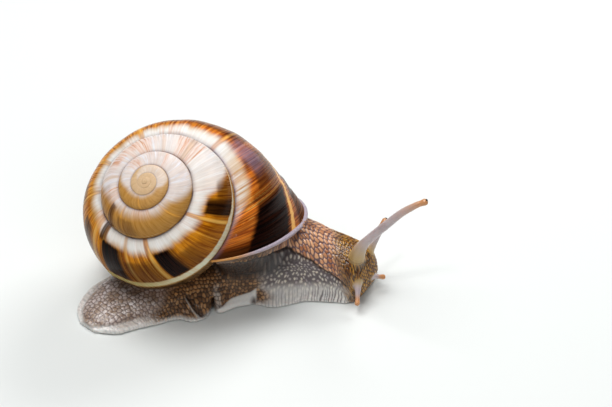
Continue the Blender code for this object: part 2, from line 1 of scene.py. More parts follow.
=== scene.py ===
import bpy
import math
import numpy as np
import openvdb
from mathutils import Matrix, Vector


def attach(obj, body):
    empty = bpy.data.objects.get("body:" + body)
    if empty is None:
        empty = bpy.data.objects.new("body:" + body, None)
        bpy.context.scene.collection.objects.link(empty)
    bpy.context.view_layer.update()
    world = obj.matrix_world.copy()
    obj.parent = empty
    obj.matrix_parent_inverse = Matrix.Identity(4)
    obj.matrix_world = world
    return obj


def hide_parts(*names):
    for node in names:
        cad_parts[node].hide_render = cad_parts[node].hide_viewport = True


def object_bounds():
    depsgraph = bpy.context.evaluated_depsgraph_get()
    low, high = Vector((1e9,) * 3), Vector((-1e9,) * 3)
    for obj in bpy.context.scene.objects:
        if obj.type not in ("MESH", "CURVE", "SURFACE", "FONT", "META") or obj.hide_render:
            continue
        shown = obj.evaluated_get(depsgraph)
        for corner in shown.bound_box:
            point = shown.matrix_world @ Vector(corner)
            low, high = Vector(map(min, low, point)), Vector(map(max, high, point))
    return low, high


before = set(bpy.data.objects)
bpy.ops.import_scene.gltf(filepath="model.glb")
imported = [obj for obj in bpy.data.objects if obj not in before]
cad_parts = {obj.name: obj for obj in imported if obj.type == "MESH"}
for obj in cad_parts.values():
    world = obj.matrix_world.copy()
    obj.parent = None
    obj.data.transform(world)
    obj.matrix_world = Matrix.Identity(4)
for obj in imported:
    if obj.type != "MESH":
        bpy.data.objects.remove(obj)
cad_low, cad_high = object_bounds()
MM = 0.001

# ------------------------------------------------------------------------------------------ shell
# A snail's shell of about five whorls: one tube of chalk that winds down a leaning axis and grows
# as it winds. It is made as one high strip, ruled by the turn and by the share of the way from
# the upper seam round the shoulder (0 to 1) and the underside (1 to 2) to the little pillar.

MODEL_CORNER = np.array((-38.894, -23.49, 0.0))
ORIGIN = np.array(cad_low) / MM - MODEL_CORNER
APEX = np.array((-22.9, -13.4, 33.6)) + ORIGIN
AXIS_ELEVATION = math.radians(54.7)
AXIS_HEADING = math.radians(-117.9)
COIL_PHASE = math.radians(21.8)
OUTER_TURN = 5.12
OUTER_RADIUS = 25.0
OUTER_DEPTH = 30.7
RADIUS_RATES = (0.3003, 0.0996, -0.0085)
DEPTH_RATES = (0.5923, 0.2335, -0.0343)
LIP_TURN = 4.145
SHOULDER_LAG = 0.137
BASE_LAG = 0.13
BASE_DEPTH_RATIO = 0.4
PILLAR_RATIO = 0.42
SHOULDER_FULLNESS = 2.1
BASE_FULLNESS = 2.4
LIP_FLARE = 1.7
FLARE_TURNS = 0.12
SEED_TURNS = 1.53
SEED_SINK = 0.9
TURNS_DRAWN = (-2.5, LIP_TURN - 1, LIP_TURN)
TURNS_KNOWN = (-3.0, 4.4)
ROW_STEP = 0.16
SHOULDER_COLUMNS = 96
BASE_COLUMNS = 84


def unit(vector):
    return vector / np.linalg.norm(vector, axis=-1, keepdims=True)


def read(table, place):
    """The value that a table of places and values gives at this place, in straight steps."""
    return np.interp(place, *zip(*table))


def coil_size(turn, outer, rates):
    left = OUTER_TURN - np.maximum(turn, 0.0)
    return outer * np.exp(-(rates[0] * left + rates[1] * left**2 + rates[2] * left**3))


def coil_radius(turn):
    """The seam's distance from the axis. Before turn 0 it runs straight in to the seed."""
    inwards = np.clip(1 + turn / SEED_TURNS, 0.0, 1.0) ** (turn < 0)
    return coil_size(turn, OUTER_RADIUS, RADIUS_RATES) * inwards


def coil_depth(turn):
    early = np.clip(-turn / SEED_TURNS, 0.0, 1.0)
    return coil_size(turn, OUTER_DEPTH, DEPTH_RATES) * (1 - SEED_SINK * early**1.6)


AXIS = np.array((
    math.cos(AXIS_ELEVATION) * math.cos(AXIS_HEADING),
    math.cos(AXIS_ELEVATION) * math.sin(AXIS_HEADING),
    math.sin(AXIS_ELEVATION),
))
LEVEL = unit(np.cross((0.0, 0.0, 1.0), AXIS))
SQUARE = np.cross(AXIS, LEVEL)


def coil_place(radius, depth, turn):
    angle = COIL_PHASE - 2 * math.pi * turn
    outward = np.cos(angle)[..., None] * LEVEL + np.sin(angle)[..., None] * SQUARE
    return APEX + radius[..., None] * outward - depth[..., None] * AXIS


def wall_place(turn, share):
    """Points of the shell's wall at these turns and shares, in millimetres."""
    turn, share = np.broadcast_arrays(np.asarray(turn, float), np.asarray(share, float))
    shoulder = np.clip(share, 0.0, 1.0)
    base = np.clip(share - 1.0, 0.0, 1.0)
    grown = np.maximum(0.0, turn - (LIP_TURN - 1))
    slanted = turn - grown * (SHOULDER_LAG * shoulder + BASE_LAG * base)
    bend = (1 - shoulder) * math.pi / 2
    inner, outer = coil_radius(slanted), coil_radius(slanted + 1)
    top, bottom = coil_depth(slanted), coil_depth(slanted + 1)
    power = 2 / SHOULDER_FULLNESS
    upper_radius = inner + (outer - inner) * np.cos(bend) ** power
    upper_depth = bottom - (bottom - top) * np.sin(bend) ** power
    under = base * math.pi / 2
    power = 2 / BASE_FULLNESS
    inwards = np.maximum(0.0, np.cos(under)) ** power
    lower_radius = outer * (PILLAR_RATIO + (1 - PILLAR_RATIO) * inwards)
    lower_depth = bottom + BASE_DEPTH_RATIO * outer * np.sin(under) ** power
    flare = LIP_FLARE * np.maximum(0.0, 1 - (LIP_TURN - turn) / FLARE_TURNS) ** 1.5
    spread = np.where(share <= 1.0, shoulder**3, np.cos(under) + 1.2 * np.sin(2 * under))
    radius = np.where(share <= 1.0, upper_radius, lower_radius) + flare * spread
    depth = np.where(share <= 1.0, upper_depth, lower_depth)
    return coil_place(radius, depth, slanted)


SWINGS = 4096


def wander(place, seed):
    """Smooth random values from -1 to 1 along a line, one swing to each unit."""
    table = np.random.RandomState(seed).uniform(-1, 1, SWINGS)
    whole = np.floor(place)
    part = place - whole
    part = part * part * (3 - 2 * part)
    index = whole.astype(int)
    return table[index % SWINGS] * (1 - part) + table[(index + 1) % SWINGS] * part


def ramp(value, start, end):
    """0 at start, 1 at end, smooth between. With end below start, it falls as the value grows."""
    share = np.clip((value - start) / (end - start), 0.0, 1.0)
    return share * share * (3 - 2 * share)


def growth_length(turn):
    """How far the outer wall has grown by this turn, in millimetres."""
    turns = np.linspace(*TURNS_KNOWN, 1500)
    steps = 2 * math.pi * coil_radius(turns + 1) * (turns[1] - turns[0])
    return np.interp(turn, turns, np.cumsum(steps))


def even_turns(start, end, step):
    """Turns whose rows lie about this far apart on the outer wall."""
    first, last = growth_length(start), growth_length(end)
    lengths = np.linspace(first, last, int((last - first) / step) + 2)
    turns = np.linspace(*TURNS_KNOWN, 4000)
    return np.interp(lengths, growth_length(turns), turns)


# How far, in turns, the growth lines lean back from shoulder to edge, by turn.
GROWTH_LEAN = (
    (3.05, 0.05), (3.3, 0.028), (3.42, 0.02), (3.6, -0.05), (3.9, -0.09), (4.0, -0.05),
    (4.06, -0.01), (4.145, 0.0),
)


def growth_turn(turn, share):
    """The turn at which this part of the wall was laid down: growth lines lean back."""
    return turn + read(GROWTH_LEAN, turn) * np.minimum(share, 1.3)


# The growth lines' fine and coarse relief and the slow swells: swing and height in millimetres.
FINE_LINES = 0.02
COARSE_LINES = (1.3, 0.03)
SWELLS = (3.6, 0.085)
SEAM_GROOVE = 0.05
# Old lips, where growth once stopped: turn and height in millimetres.
OLD_LIPS = ((3.425, 0.34), (2.44, 0.16), (4.06, 0.1))


def wall_relief(turn, share):
    """Height of the growth lines, the slow swells and the old lips on the wall."""
    laid = growth_turn(turn, share)
    grown = growth_length(laid)
    size = coil_radius(turn + 1) / OUTER_RADIUS
    fine = np.abs(wander(grown / 0.42, 3)) + 0.6 * np.abs(wander(grown / 0.23, 4))
    coarse = wander(grown / COARSE_LINES[0], 5)
    swell = wander(grown / SWELLS[0], 6) * ramp(turn, 2.4, 3.6)
    relief = FINE_LINES * fine * (0.5 + 0.5 * size) + COARSE_LINES[1] * coarse * size
    relief = relief + SWELLS[1] * swell
    for place, height in OLD_LIPS:
        before = np.exp(-(((laid - place) / 0.01) ** 2) / 2)
        after = np.where(laid > place, np.exp(-(laid - place) / 0.05), 0.0)
        relief = relief + height * (0.55 * before - 0.45 * after)
    groove = SEAM_GROOVE * size * np.exp(-share / 0.035)
    return relief * ramp(turn, -0.9, 0.4) * ramp(share, 0.0, 0.05) - groove


def patch(value, middle, half, soft):
    """1 within half of the middle, falling to 0 over soft beyond it."""
    return ramp(np.abs(value - middle), half + soft, half)


# How far down the shoulder the white reaches, by turn. The white is partly the shell's own colour
# and partly a painted reflection of bright sky on the upper side of the whorls.
WHITE_EDGE = (
    (-3.0, -0.3), (0.5, -0.3), (0.74, 0.85), (0.98, 0.9), (1.1, 0.02), (1.45, 0.08), (1.62, 1.0),
    (2.0, 1.0), (2.12, 0.2), (2.42, 0.17), (2.5, 0.45), (2.6, 1.0), (2.92, 1.1), (3.03, 0.27),
    (3.38, 0.25), (3.46, 0.14), (3.6, 0.17), (3.72, 0.22), (3.88, 0.25), (3.96, 0.27), (4.02, 0.22),
    (4.055, 0.04), (4.145, -0.2),
)
# Dark patches: turn and half-width along the coil, middle and half-height across it, depth.
DARK_PATCHES = (
    (2.365, 0.03, 0.62, 0.24, 0.4), (2.435, 0.01, 0.55, 0.33, 0.75), (2.5, 0.03, 0.5, 0.26, 0.14),
    (3.04, 0.022, 0.7, 0.2, 0.5), (3.075, 0.015, 0.6, 0.28, 0.94), (3.195, 0.014, 0.66, 0.2, 0.4),
    (3.241, 0.018, 0.57, 0.27, 1.0), (3.311, 0.034, 0.68, 0.22, 0.5), (3.29, 0.01, 0.64, 0.22, 0.4),
    (3.381, 0.026, 0.56, 0.28, 1.0), (3.412, 0.006, 0.14, 0.16, 0.8),
    (3.47, 0.014, 0.6, 0.24, 0.75), (3.54, 0.016, 0.62, 0.24, 0.55),
    (3.655, 0.012, 0.62, 0.2, 0.45), (3.765, 0.014, 0.64, 0.2, 0.5), (3.85, 0.055, 0.72, 0.3, 0.5),
    (3.945, 0.008, 0.52, 0.22, 0.6), (3.985, 0.036, 0.66, 0.26, 0.62),
    (4.03, 0.01, 0.56, 0.26, 0.5), (4.101, 0.046, 0.6, 0.24, 1.0), (4.138, 0.012, 0.34, 0.5, 0.88),
)
# Amber streaks along the growth lines: turn, half-width and depth.
AMBER_STREAKS = (
    (3.106, 0.004, 0.9), (3.27, 0.005, 0.95), (3.333, 0.003, 0.6), (3.405, 0.004, 0.9),
    (3.44, 0.01, 0.7), (3.52, 0.003, 0.6), (3.6, 0.004, 0.6), (3.7, 0.004, 0.7),
    (3.875, 0.003, 0.7), (2.8, 0.004, 0.3), (2.885, 0.006, 0.55), (2.38, 0.004, 0.5),
    (2.17, 0.003, 0.4), (2.56, 0.004, 0.35), (1.32, 0.004, 0.35),
)

# The pale line round the whorl's edge: its half-thickness, by turn.
PALE_LINE = ((2.3, 0.002), (2.9, 0.008), (3.0, 0.012), (3.07, 0.046), (3.5, 0.042), (4.0, 0.02))
# Where a band of painted shade starts, low on the whorl before the last, by turn. It darkens that
# whorl down towards the seam below it.
SHADE_BAND_START = (
    (2.42, 0.93), (2.5, 0.78), (2.6, 0.68), (2.67, 0.66), (2.75, 0.7), (2.85, 0.86), (2.92, 1.0),
)
BAND_SHARE = 1.15


def dark_marks(laid, turn, share, rough, slow, mid, thin):
    """Dark patches, the band round the widest part, the pillar, the seam's dark fringe (partly
    painted shade in its groove), and a band of painted shade low on the whorl before the last.
    """
    dark = np.zeros_like(turn)
    fading = laid + 0.0012 * rough + 0.004 * thin
    for middle, half, centre, tall, depth in DARK_PATCHES:
        ends = patch(share + 0.012 * rough, centre, tall - 0.03, 0.08)
        start = ramp(fading, middle - half - 0.022, middle - half + 0.006) ** 1.4
        stop = ramp(laid + 0.0006 * rough, middle + half + 0.005, middle + half)
        dark = np.maximum(dark, depth * start * stop * ends)
    band = patch(share, BAND_SHARE, 0.12, 0.07) * (0.86 + 0.14 * slow) * ramp(turn, 2.0, 2.6)
    pillar = 0.45 * ramp(share, 1.88, 1.99)
    # The seam's dark fringe is partly the seam's own dark line and partly painted shade in its
    # groove. It is stronger on part of the last whorl.
    fringe = ramp(share, 0.03, 0.008) * ramp(turn, 1.0, 2.2)
    fringe *= 0.55 + 0.3 * mid + 0.25 * patch(turn, 3.62, 0.16, 0.08)
    # A band of painted shade, low on the whorl before the last.
    start = read(SHADE_BAND_START, turn)
    lower = ramp(share, start - 0.1, start + 0.02) * patch(turn, 2.67, 0.22, 0.06)
    return np.maximum.reduce((dark, band, pillar, fringe, 0.75 * lower))


def shell_marks(turn, share):
    """The masks that colour the wall, in threes."""
    laid = growth_turn(turn, share)
    grown = growth_length(laid)
    rough = wander(grown / 0.8, 11) + 0.6 * wander(grown / 0.3, 12)
    slow = wander(grown / 5.0, 13)
    mid = wander(grown / 2.2, 15)
    thin = wander(grown / 0.17, 14)
    # The white of the shoulder: partly the shell's own colour, partly a painted reflection of the
    # sky.
    edge = read(WHITE_EDGE, turn) + 0.02 * rough + 0.03 * mid
    soft = 0.22 - 0.12 * ramp(turn, 2.0, 3.1)
    white = ramp(share, edge + soft, edge - soft)
    white *= 0.91 + 0.08 * thin + 0.06 * mid
    white *= 1 - ramp(turn, 3.89, 3.97) * np.clip(0.42 + 0.3 * rough, 0.0, 0.8)
    amber = patch(share, 0.57, 0.27, 0.12) * ramp(turn, 2.2, 3.1)
    amber = np.maximum(amber, ramp(turn, 4.0, 4.06))
    amber *= 0.86 + 0.14 * rough
    bright = 0.5 * ramp(thin + 0.8 * rough, 0.9, 1.6) * patch(share, 0.5, 0.28, 0.1)
    bright *= ramp(turn, 2.9, 3.1)
    for middle, half, depth in AMBER_STREAKS:
        streak = depth * patch(laid, middle, half, 0.005) * ramp(share, 0.9, 0.82)
        core = 0.7 * streak * (1 - white) * patch(laid, middle, 0.2 * half, 0.005)
        bright = np.maximum(bright, core)
        white = white * (1 - 0.8 * streak)
        amber = np.maximum(amber, streak)
    flecks = ramp(rough + 0.5 * slow, 0.25, 0.9)
    amber = np.maximum(amber, ramp(share, 1.25, 1.4) * (0.25 + 0.55 * flecks))
    dark = dark_marks(laid, turn, share, rough, slow, mid, thin)
    thick = read(PALE_LINE, turn)
    line = patch(share + 0.006 * rough, 0.915 - 0.6 * (0.04 - thick), thick, 0.65 * thick)
    line *= ramp(turn, 1.9, 2.5) * (1 - 0.45 * dark)
    dark *= 1 - 0.8 * line
    # A painted reflection of the sky: a lavender sheen on the dark band just behind the lip, broken
    # up along the growth lines.
    painted_sheen = patch(turn, 3.965, 0.022, 0.035) * patch(share + 2.4 * (3.95 - turn), 0.42, 0.07, 0.12)
    painted_sheen *= 0.55 + 0.45 * ramp(thin + rough, -0.6, 0.8)
    # Painted shade along the seams where the whorls meet: on each whorl's upper edge and, on the
    # early whorls, on its lower edge too. It is widest on part of the last whorl.
    wide = patch(turn, 3.66, 0.12, 0.08)
    seam = ramp(share, 0.09 + 0.05 * wide, 0.0) * ramp(turn, 0.2, 1.0) * (1 + 0.5 * wide)
    seam = np.maximum(seam, ramp(share, 0.9, 0.99) * ramp(turn, 3.0, 2.8))
    # The painted sheen and the painted seam shade, laid on together as one violet-grey mask.
    sheen_and_seam_shade = np.clip(0.62 * painted_sheen + 0.55 * seam * (0.8 + 0.2 * mid), 0, 1)
    deep = patch(share, 0.72, 0.14 + 0.14 * ramp(turn, 3.5, 3.75), 0.16) * ramp(turn, 2.0, 3.2)
    honey = ramp(turn, 1.5, 0.3)
    pink = ramp(slow + 0.6 * rough, -0.1, 1.0) * ramp(turn, 1.2, 1.8)
    pink *= 1 - 0.7 * patch(turn, 3.2, 0.14, 0.1)
    pink = np.maximum(pink, patch(turn, 2.66, 0.05, 0.06) * patch(share, 0.34, 0.08, 0.12))
    groups = ((dark, amber, white), (line, honey, pink), (sheen_and_seam_shade, deep, bright))
    return [np.stack(group, -1) for group in groups]


def mesh_piece(name, points, faces, marks):
    """A smooth mesh object from points in millimetres, with its named vector attributes."""
    mesh = bpy.data.meshes.new(name)
    mesh.from_pydata(np.asarray(points) * MM, (), faces, shade_flat=False)
    for label, values in marks.items():
        made = mesh.attributes.new(label, "FLOAT_VECTOR", "POINT")
        made.data.foreach_set("vector", np.asarray(values, np.float32).ravel())
    piece = bpy.data.objects.new(name, mesh)
    bpy.context.scene.collection.objects.link(piece)
    return piece


def grid_quads(rows, columns, start=0):
    """The faces between neighbouring points of a grid of rows and columns."""
    index = np.arange(rows * columns).reshape(rows, columns) + start
    quads = np.stack((index[:-1, :-1], index[1:, :-1], index[1:, 1:], index[:-1, 1:]), -1)
    return quads.reshape(-1, 4)


def grid_normals(points):
    """Unit vectors out of a grid of points, square to it."""
    normals = np.cross(np.gradient(points, axis=0), np.gradient(points, axis=1))
    return normals / np.maximum(np.linalg.norm(normals, axis=-1, keepdims=True), 1e-9)


def wall_grid(turns, shares):
    """A raised grid of the wall, with its marks."""
    turn, share = np.meshgrid(turns, shares, indexing="ij")
    points = wall_place(turn, share)
    points = points + grid_normals(points) * wall_relief(turn, share)[..., None]
    marks = shell_marks(turn, share)
    place = np.stack((growth_length(growth_turn(turn, share)), share, turn), -1)
    return points, *marks, place


def build_shell():
    """The early whorls as a strip of the shoulder only, and the last one with its underside too.
    The first strip's last row is the start of the second's first row, so the two are welded."""
    first, middle, last = TURNS_DRAWN
    shares = np.linspace(0.0, 2.0, SHOULDER_COLUMNS + BASE_COLUMNS)
    early = wall_grid(even_turns(first, middle, ROW_STEP), shares[:SHOULDER_COLUMNS])
    late = wall_grid(even_turns(middle, last, ROW_STEP), shares)
    rows = early[0].shape[0]
    quads = np.vstack((
        grid_quads(rows, SHOULDER_COLUMNS),
        grid_quads(*late[0].shape[:2], (rows - 1) * SHOULDER_COLUMNS),
    ))
    points, *marks = [
        np.vstack((a[:-1].reshape(-1, 3), b.reshape(-1, 3))) for a, b in zip(early, late)
    ]
    return mesh_piece("shell", points, quads, dict(zip(("paint", "tint", "veil", "place"), marks)))


def value_node(tree, kind, **settings):
    node = tree.nodes.new(kind)
    for name, value in settings.items():
        setattr(node, name, value)
    return node


def srgb(*channels):
    """A colour of the eye's scale, 0 to 255, as the linear colour that shaders take."""
    shares = [channel / 255 for channel in channels]
    linear = [s / 12.92 if s <= 0.04045 else ((s + 0.055) / 1.055) ** 2.4 for s in shares]
    return (*linear, 1.0)


def fed(tree, socket, value):
    """Feeds a socket from another one, or sets it to a number or a colour from 0 to 255."""
    if isinstance(value, bpy.types.NodeSocket):
        tree.links.new(value, socket)
    else:
        socket.default_value = srgb(*value) if isinstance(value, tuple) else value


def mixed(tree, factor, first, second, blend="MIX"):
    node = value_node(tree, "ShaderNodeMix", data_type="RGBA", blend_type=blend)
    for index, value in ((0, factor), (6, first), (7, second)):
        fed(tree, node.inputs[index], value)
    return node.outputs[2]


def reckoned(tree, operation, *values):
    """A Math node's result."""
    node = value_node(tree, "ShaderNodeMath", operation=operation)
    for socket, value in zip(node.inputs, values):
        fed(tree, socket, value)
    return node.outputs[0]


def times(tree, first, second):
    return reckoned(tree, "MULTIPLY", first, second)


def scaled(tree, value, factor, offset):
    return reckoned(tree, "MULTIPLY_ADD", value, factor, offset)


def parted(tree, label):
    """The three numbers of a mesh's vector attribute."""
    source = value_node(tree, "ShaderNodeAttribute", attribute_name=label)
    split = value_node(tree, "ShaderNodeSeparateXYZ")
    tree.links.new(source.outputs["Vector"], split.inputs[0])
    return tuple(split.outputs)


def eased_value(tree, value, start, end):
    """0 at the start and 1 at the end, eased between."""
    node = value_node(tree, "ShaderNodeMapRange", interpolation_type="SMOOTHSTEP")
    low, high = float(end < start), float(end > start)
    for index, given in enumerate((value, min(start, end), max(start, end), low, high)):
        fed(tree, node.inputs[index], given)
    return node.outputs[0]


def new_material(name, **plain):
    """A material, its node tree and its shader, with the inputs that are the same all over."""
    material = bpy.data.materials.new(name)
    material.use_nodes = True
    shader = material.node_tree.nodes["Principled BSDF"]
    for label, value in plain.items():
        shader.inputs[label.replace("_", " ")].default_value = value
    return material, material.node_tree, shader.inputs


def bumped(tree, inputs, height, strength, distance):
    """Fine relief, by a Bump node, from a height that runs from 0 to 1."""
    bump = value_node(tree, "ShaderNodeBump")
    fed(tree, bump.inputs["Strength"], strength)
    fed(tree, bump.inputs["Distance"], distance)
    fed(tree, bump.inputs["Height"], height)
    fed(tree, inputs["Normal"], bump.outputs[0])


def noise_effect(name, place, output, **settings):
    """A node group that puts out noise, drawn out along a surface by the inputs named as its
    place, or even through the whole object where none is named."""
    group = bpy.data.node_groups.new(name, "ShaderNodeTree")
    for label in (*place, "Fineness"):
        group.interface.new_socket(label, in_out="INPUT", socket_type="NodeSocketFloat")
    group.interface.new_socket(output, in_out="OUTPUT", socket_type="NodeSocketFloat")
    given, result = value_node(group, "NodeGroupInput"), value_node(group, "NodeGroupOutput")
    where = value_node(group, "ShaderNodeCombineXYZ" if place else "ShaderNodeNewGeometry")
    for index, label in enumerate(place):
        fed(group, where.inputs[index], given.outputs[label])
    noise = value_node(group, "ShaderNodeTexNoise")
    for label, value in settings.items():
        fed(group, noise.inputs[label], value)
    fed(group, noise.inputs["Vector"], where.outputs[0])
    fed(group, noise.inputs["Scale"], given.outputs["Fineness"])
    fed(group, result.inputs[0], noise.outputs["Fac"])
    return group


STREAKS = noise_effect(
    "drawn out streaks", ("Along", "Across"), "Streak", Detail=5.0, Roughness=0.65
)


def placed(tree, effect, *values):
    """The output of a node group placed in a material, with these values for its inputs."""
    node = value_node(tree, "ShaderNodeGroup", node_tree=effect)
    for socket, value in zip(node.inputs, values):
        fed(tree, socket, value)
    return node.outputs[0]


def layered(tree, colour, *layers):
    """Lays tones over a colour, one after another: each has its mask, its strength and itself,
    and may name the way that it is blended."""
    for mask, strength, *tone in layers:
        colour = mixed(tree, times(tree, mask, strength), colour, *tone)
    return colour


def shell_material():
    material, tree, inputs = new_material(
        "glossy banded shell", Specular_IOR_Level=0.08, Coat_Weight=0.16, Coat_Roughness=0.06,
        Coat_IOR=1.3, Subsurface_Weight=0.05, Subsurface_Radius=(0.9, 0.5, 0.3),
        Subsurface_Scale=0.0006,
    )
    dark, amber, white = parted(tree, "paint")
    line, honey, pink = parted(tree, "tint")
    sheen_and_seam_shade, deep, bright = parted(tree, "veil")
    grown, share, turn = parted(tree, "place")
    low_share = times(tree, share, 0.8)
    streaks, hair, clouds, tints = (
        placed(tree, STREAKS, times(tree, grown, stretch), low_share, fineness)
        for stretch, fineness in ((1.0, 1.7), (3.0, 1.6), (0.3, 1.0), (0.8, 1.4))
    )
    sharp = eased_value(tree, streaks, 0.34, 0.66)
    # The tones of the ground, from the early whorls to the late ones.
    ochre = mixed(tree, streaks, (146, 96, 32), (206, 164, 98))
    warm = mixed(tree, sharp, (140, 72, 0), (216, 144, 26))
    red = mixed(tree, sharp, (112, 36, 8), (220, 126, 38))
    warm = mixed(tree, eased_value(tree, turn, 3.68, 3.92), warm, red)
    tan = mixed(tree, clouds, (184, 154, 120), (224, 200, 170))
    # The whites of the shoulder: partly the shell's own colour, partly a painted reflection of the
    # sky.
    early_white = mixed(tree, clouds, (182, 170, 166), (236, 228, 224))
    cool = times(tree, eased_value(tree, tints, 0.5, 0.62), 0.75)
    early_white = mixed(tree, cool, early_white, (214, 216, 224))
    late_white = mixed(tree, clouds, (200, 196, 190), (242, 242, 240))
    chalk = mixed(tree, eased_value(tree, turn, 2.6, 3.2), early_white, late_white)
    rosy = mixed(tree, sharp, (200, 152, 124), (230, 208, 198))
    early_black = mixed(tree, sharp, (52, 32, 28), (112, 70, 40))
    late_black = mixed(tree, sharp, (2, 1, 1), (44, 16, 4))
    black = mixed(tree, eased_value(tree, turn, 2.7, 3.0), early_black, late_black)
    pale = mixed(tree, eased_value(tree, turn, 3.16, 3.38), (214, 214, 192), (184, 176, 112))
    pale = mixed(tree, eased_value(tree, turn, 3.8, 4.0), pale, (226, 176, 104))
    pale = mixed(tree, times(tree, sharp, 0.35), pale, (196, 140, 74))
    # The tone of the painted shade at the seams. It turns light lilac where the painted sheen lies
    # near the lip.
    shade = mixed(tree, eased_value(tree, turn, 3.78, 3.92), (96, 72, 80), (160, 140, 160))
    # The marks, laid one over another.
    streaked = times(tree, pink, scaled(tree, sharp, -0.7, 1.0))
    white_tone = mixed(tree, streaked, chalk, rosy)
    colour = layered(
        tree, mixed(tree, amber, ochre, warm), (deep, 0.38, (96, 44, 0)),
        (bright, 1.0, (240, 196, 110)), (white, 1.0, white_tone), (dark, 1.0, black),
        (line, 1.0, pale), (honey, 0.8, tan), (sheen_and_seam_shade, 0.8, shade),
    )
    grey = value_node(tree, "ShaderNodeCombineColor")
    for socket in grey.inputs[:3]:
        fed(tree, socket, scaled(tree, hair, 0.7, 0.62))
    fed(tree, inputs["Base Color"], mixed(tree, 0.7, colour, grey.outputs[0], "MULTIPLY"))
    fed(tree, inputs["Roughness"], scaled(tree, streaks, 0.2, 0.18))
    bumped(tree, inputs, hair, 0.2, 0.00006)
    return material


shell = build_shell()
shell.data.materials.append(shell_material())
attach(shell, "root")
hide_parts("shell_spire", "shell_body_whorl")

# ------------------------------------------------------------------------------------ lip
# The thickened free edge of the shell's mouth, with the pale edge of the mantle lying against it.
# It is a rounded bead along the last growth line, thickest at the widest part of the mouth.

RIM_POINTS = 420
RIM_SIDES = 20
RIM_THIN = 0.26
RIM_THICK = 0.56
RIM_END = 0.006
RIM_FORWARD = 0.45


def mouth_line(count):
    """The free edge from the seam round to the pillar, and the share of each of its points."""
    shares = np.linspace(0.0, 2.0, count)
    return wall_place(np.full(count, LIP_TURN), shares), shares


def mouth_loop(count, end):
    """The free edge, and the wall that closes the mouth, from the pillar to this share."""
    half = count // 2
    inner = wall_place(np.full(half, LIP_TURN - 1), np.linspace(2.0, end, half))
    return np.vstack((mouth_line(count)[0], inner))


def mouth_facing():
    """The middle of the mouth's line, and the direction that it opens in."""
    loop = mouth_loop(80, 1.1)
    middle = loop.mean(axis=0)
    facing = np.linalg.svd(loop - middle)[2][2]
    return middle, -facing if facing[2] > 0 else facing


MOUTH_MIDDLE, MOUTH_FACING = mouth_facing()


def closed_loft(rings):
    """Points and triangles of a closed solid through rings of equal count."""
    rings = np.asarray(rings, float)
    rows, count = rings.shape[:2]
    index = np.arange(rows * count).reshape(rows, count)
    after = np.roll(index, -1, axis=1)
    lower = np.stack((index[:-1], after[:-1], after[1:]), -1).reshape(-1, 3)
    upper = np.stack((index[:-1], after[1:], index[1:]), -1).reshape(-1, 3)
    first, last = np.full(count, rows * count), np.full(count, rows * count + 1)
    caps = np.stack((first, after[0], index[0]), -1), np.stack((last, index[-1], after[-1]), -1)
    points = np.vstack((rings.reshape(-1, 3), rings[0].mean(0), rings[-1].mean(0)))
    return points, np.vstack((lower, upper, *caps)).astype(np.uint32)


def ring_piece(name, rings, marks):
    """A closed piece through rings of points, with three marks at each point."""
    points, faces = closed_loft(rings)
    return mesh_piece(name, points, faces, {"place": closed_loft(marks)[0]})


def tube_grid(centres, radii, sides):
    """Rings of points round a line."""
    heading = unit(np.gradient(centres, axis=0))
    across = np.cross(heading[0], (0.0, 0.0, 1.0))
    angles = np.linspace(0, 2 * math.pi, sides, endpoint=False)[:, None]
    rings = []
    for centre, radius, along in zip(centres, radii, heading):
        across = unit(across - along * np.dot(across, along))
        square = np.cross(along, across)
        rings.append(centre + radius * (np.cos(angles) * across + np.sin(angles) * square))
    return np.array(rings)


def build_rim():
    line, shares = mouth_line(RIM_POINTS)
    length = np.linspace(0, 1, RIM_POINTS)
    radii = RIM_THIN + (RIM_THICK - RIM_THIN) * ramp(shares, 0.05, 1.0)
    radii *= 1 - 0.35 * ramp(shares, 1.3, 1.9) + 0.05 * wander(length * 60, 21)
    radii *= np.sqrt(np.clip(np.minimum(length, 1 - length) / RIM_END, 0.0, 1.0)) + 0.02
    centres = line + MOUTH_FACING * (radii * RIM_FORWARD)[:, None]
    rings = tube_grid(centres, radii, RIM_SIDES)
    outer = ((rings - centres[:, None]) @ MOUTH_FACING) / radii[:, None]
    shares = np.broadcast_to(shares[:, None], outer.shape)
    return ring_piece("shell_rim", rings, np.stack((shares, outer, outer * 0), -1))


def rim_material():
    material, tree, inputs = new_material(
        "lilac shell rim", Coat_Weight=0.3, Subsurface_Weight=0.15,
        Subsurface_Radius=(0.9, 0.6, 0.5), Subsurface_Scale=0.0006,
    )
    share, outer, _ = parted(tree, "place")
    noise = placed(tree, STREAKS, times(tree, share, 30.0), outer, 1.6)
    lilac = mixed(tree, noise, (128, 116, 130), (196, 186, 194))
    amber = mixed(tree, noise, (150, 92, 36), (222, 168, 96))
    lower = times(tree, eased_value(tree, outer, 0.35, 0.85), 0.8)
    edge = times(tree, lower, reckoned(tree, "LESS_THAN", share, 0.95))
    amount = reckoned(tree, "MAXIMUM", eased_value(tree, share, 0.5, 0.22), edge)
    fed(tree, inputs["Base Color"], mixed(tree, amount, lilac, amber))
    fed(tree, inputs["Roughness"], scaled(tree, noise, 0.2, 0.24))
    return material


rim = build_rim()
rim.data.materials.append(rim_material())
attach(rim, "root")
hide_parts("shell_lip")

# ------------------------------------------------------------------------------------ skin
# The snail's soft body as one skin: tail, foot, neck, mantle edge, head and the four feelers. The
# forms are blended in a field of distances, and the field's surface is then raised into the
# beads, furrows and folds of the skin, each laid out along the body and round it.

CELL = 0.27
FIELD_LOW = np.array((-41.0, -25.0, -3.0))
FIELD_HIGH = np.array((41.5, 14.0, 37.0))
BAND_CELLS = 14
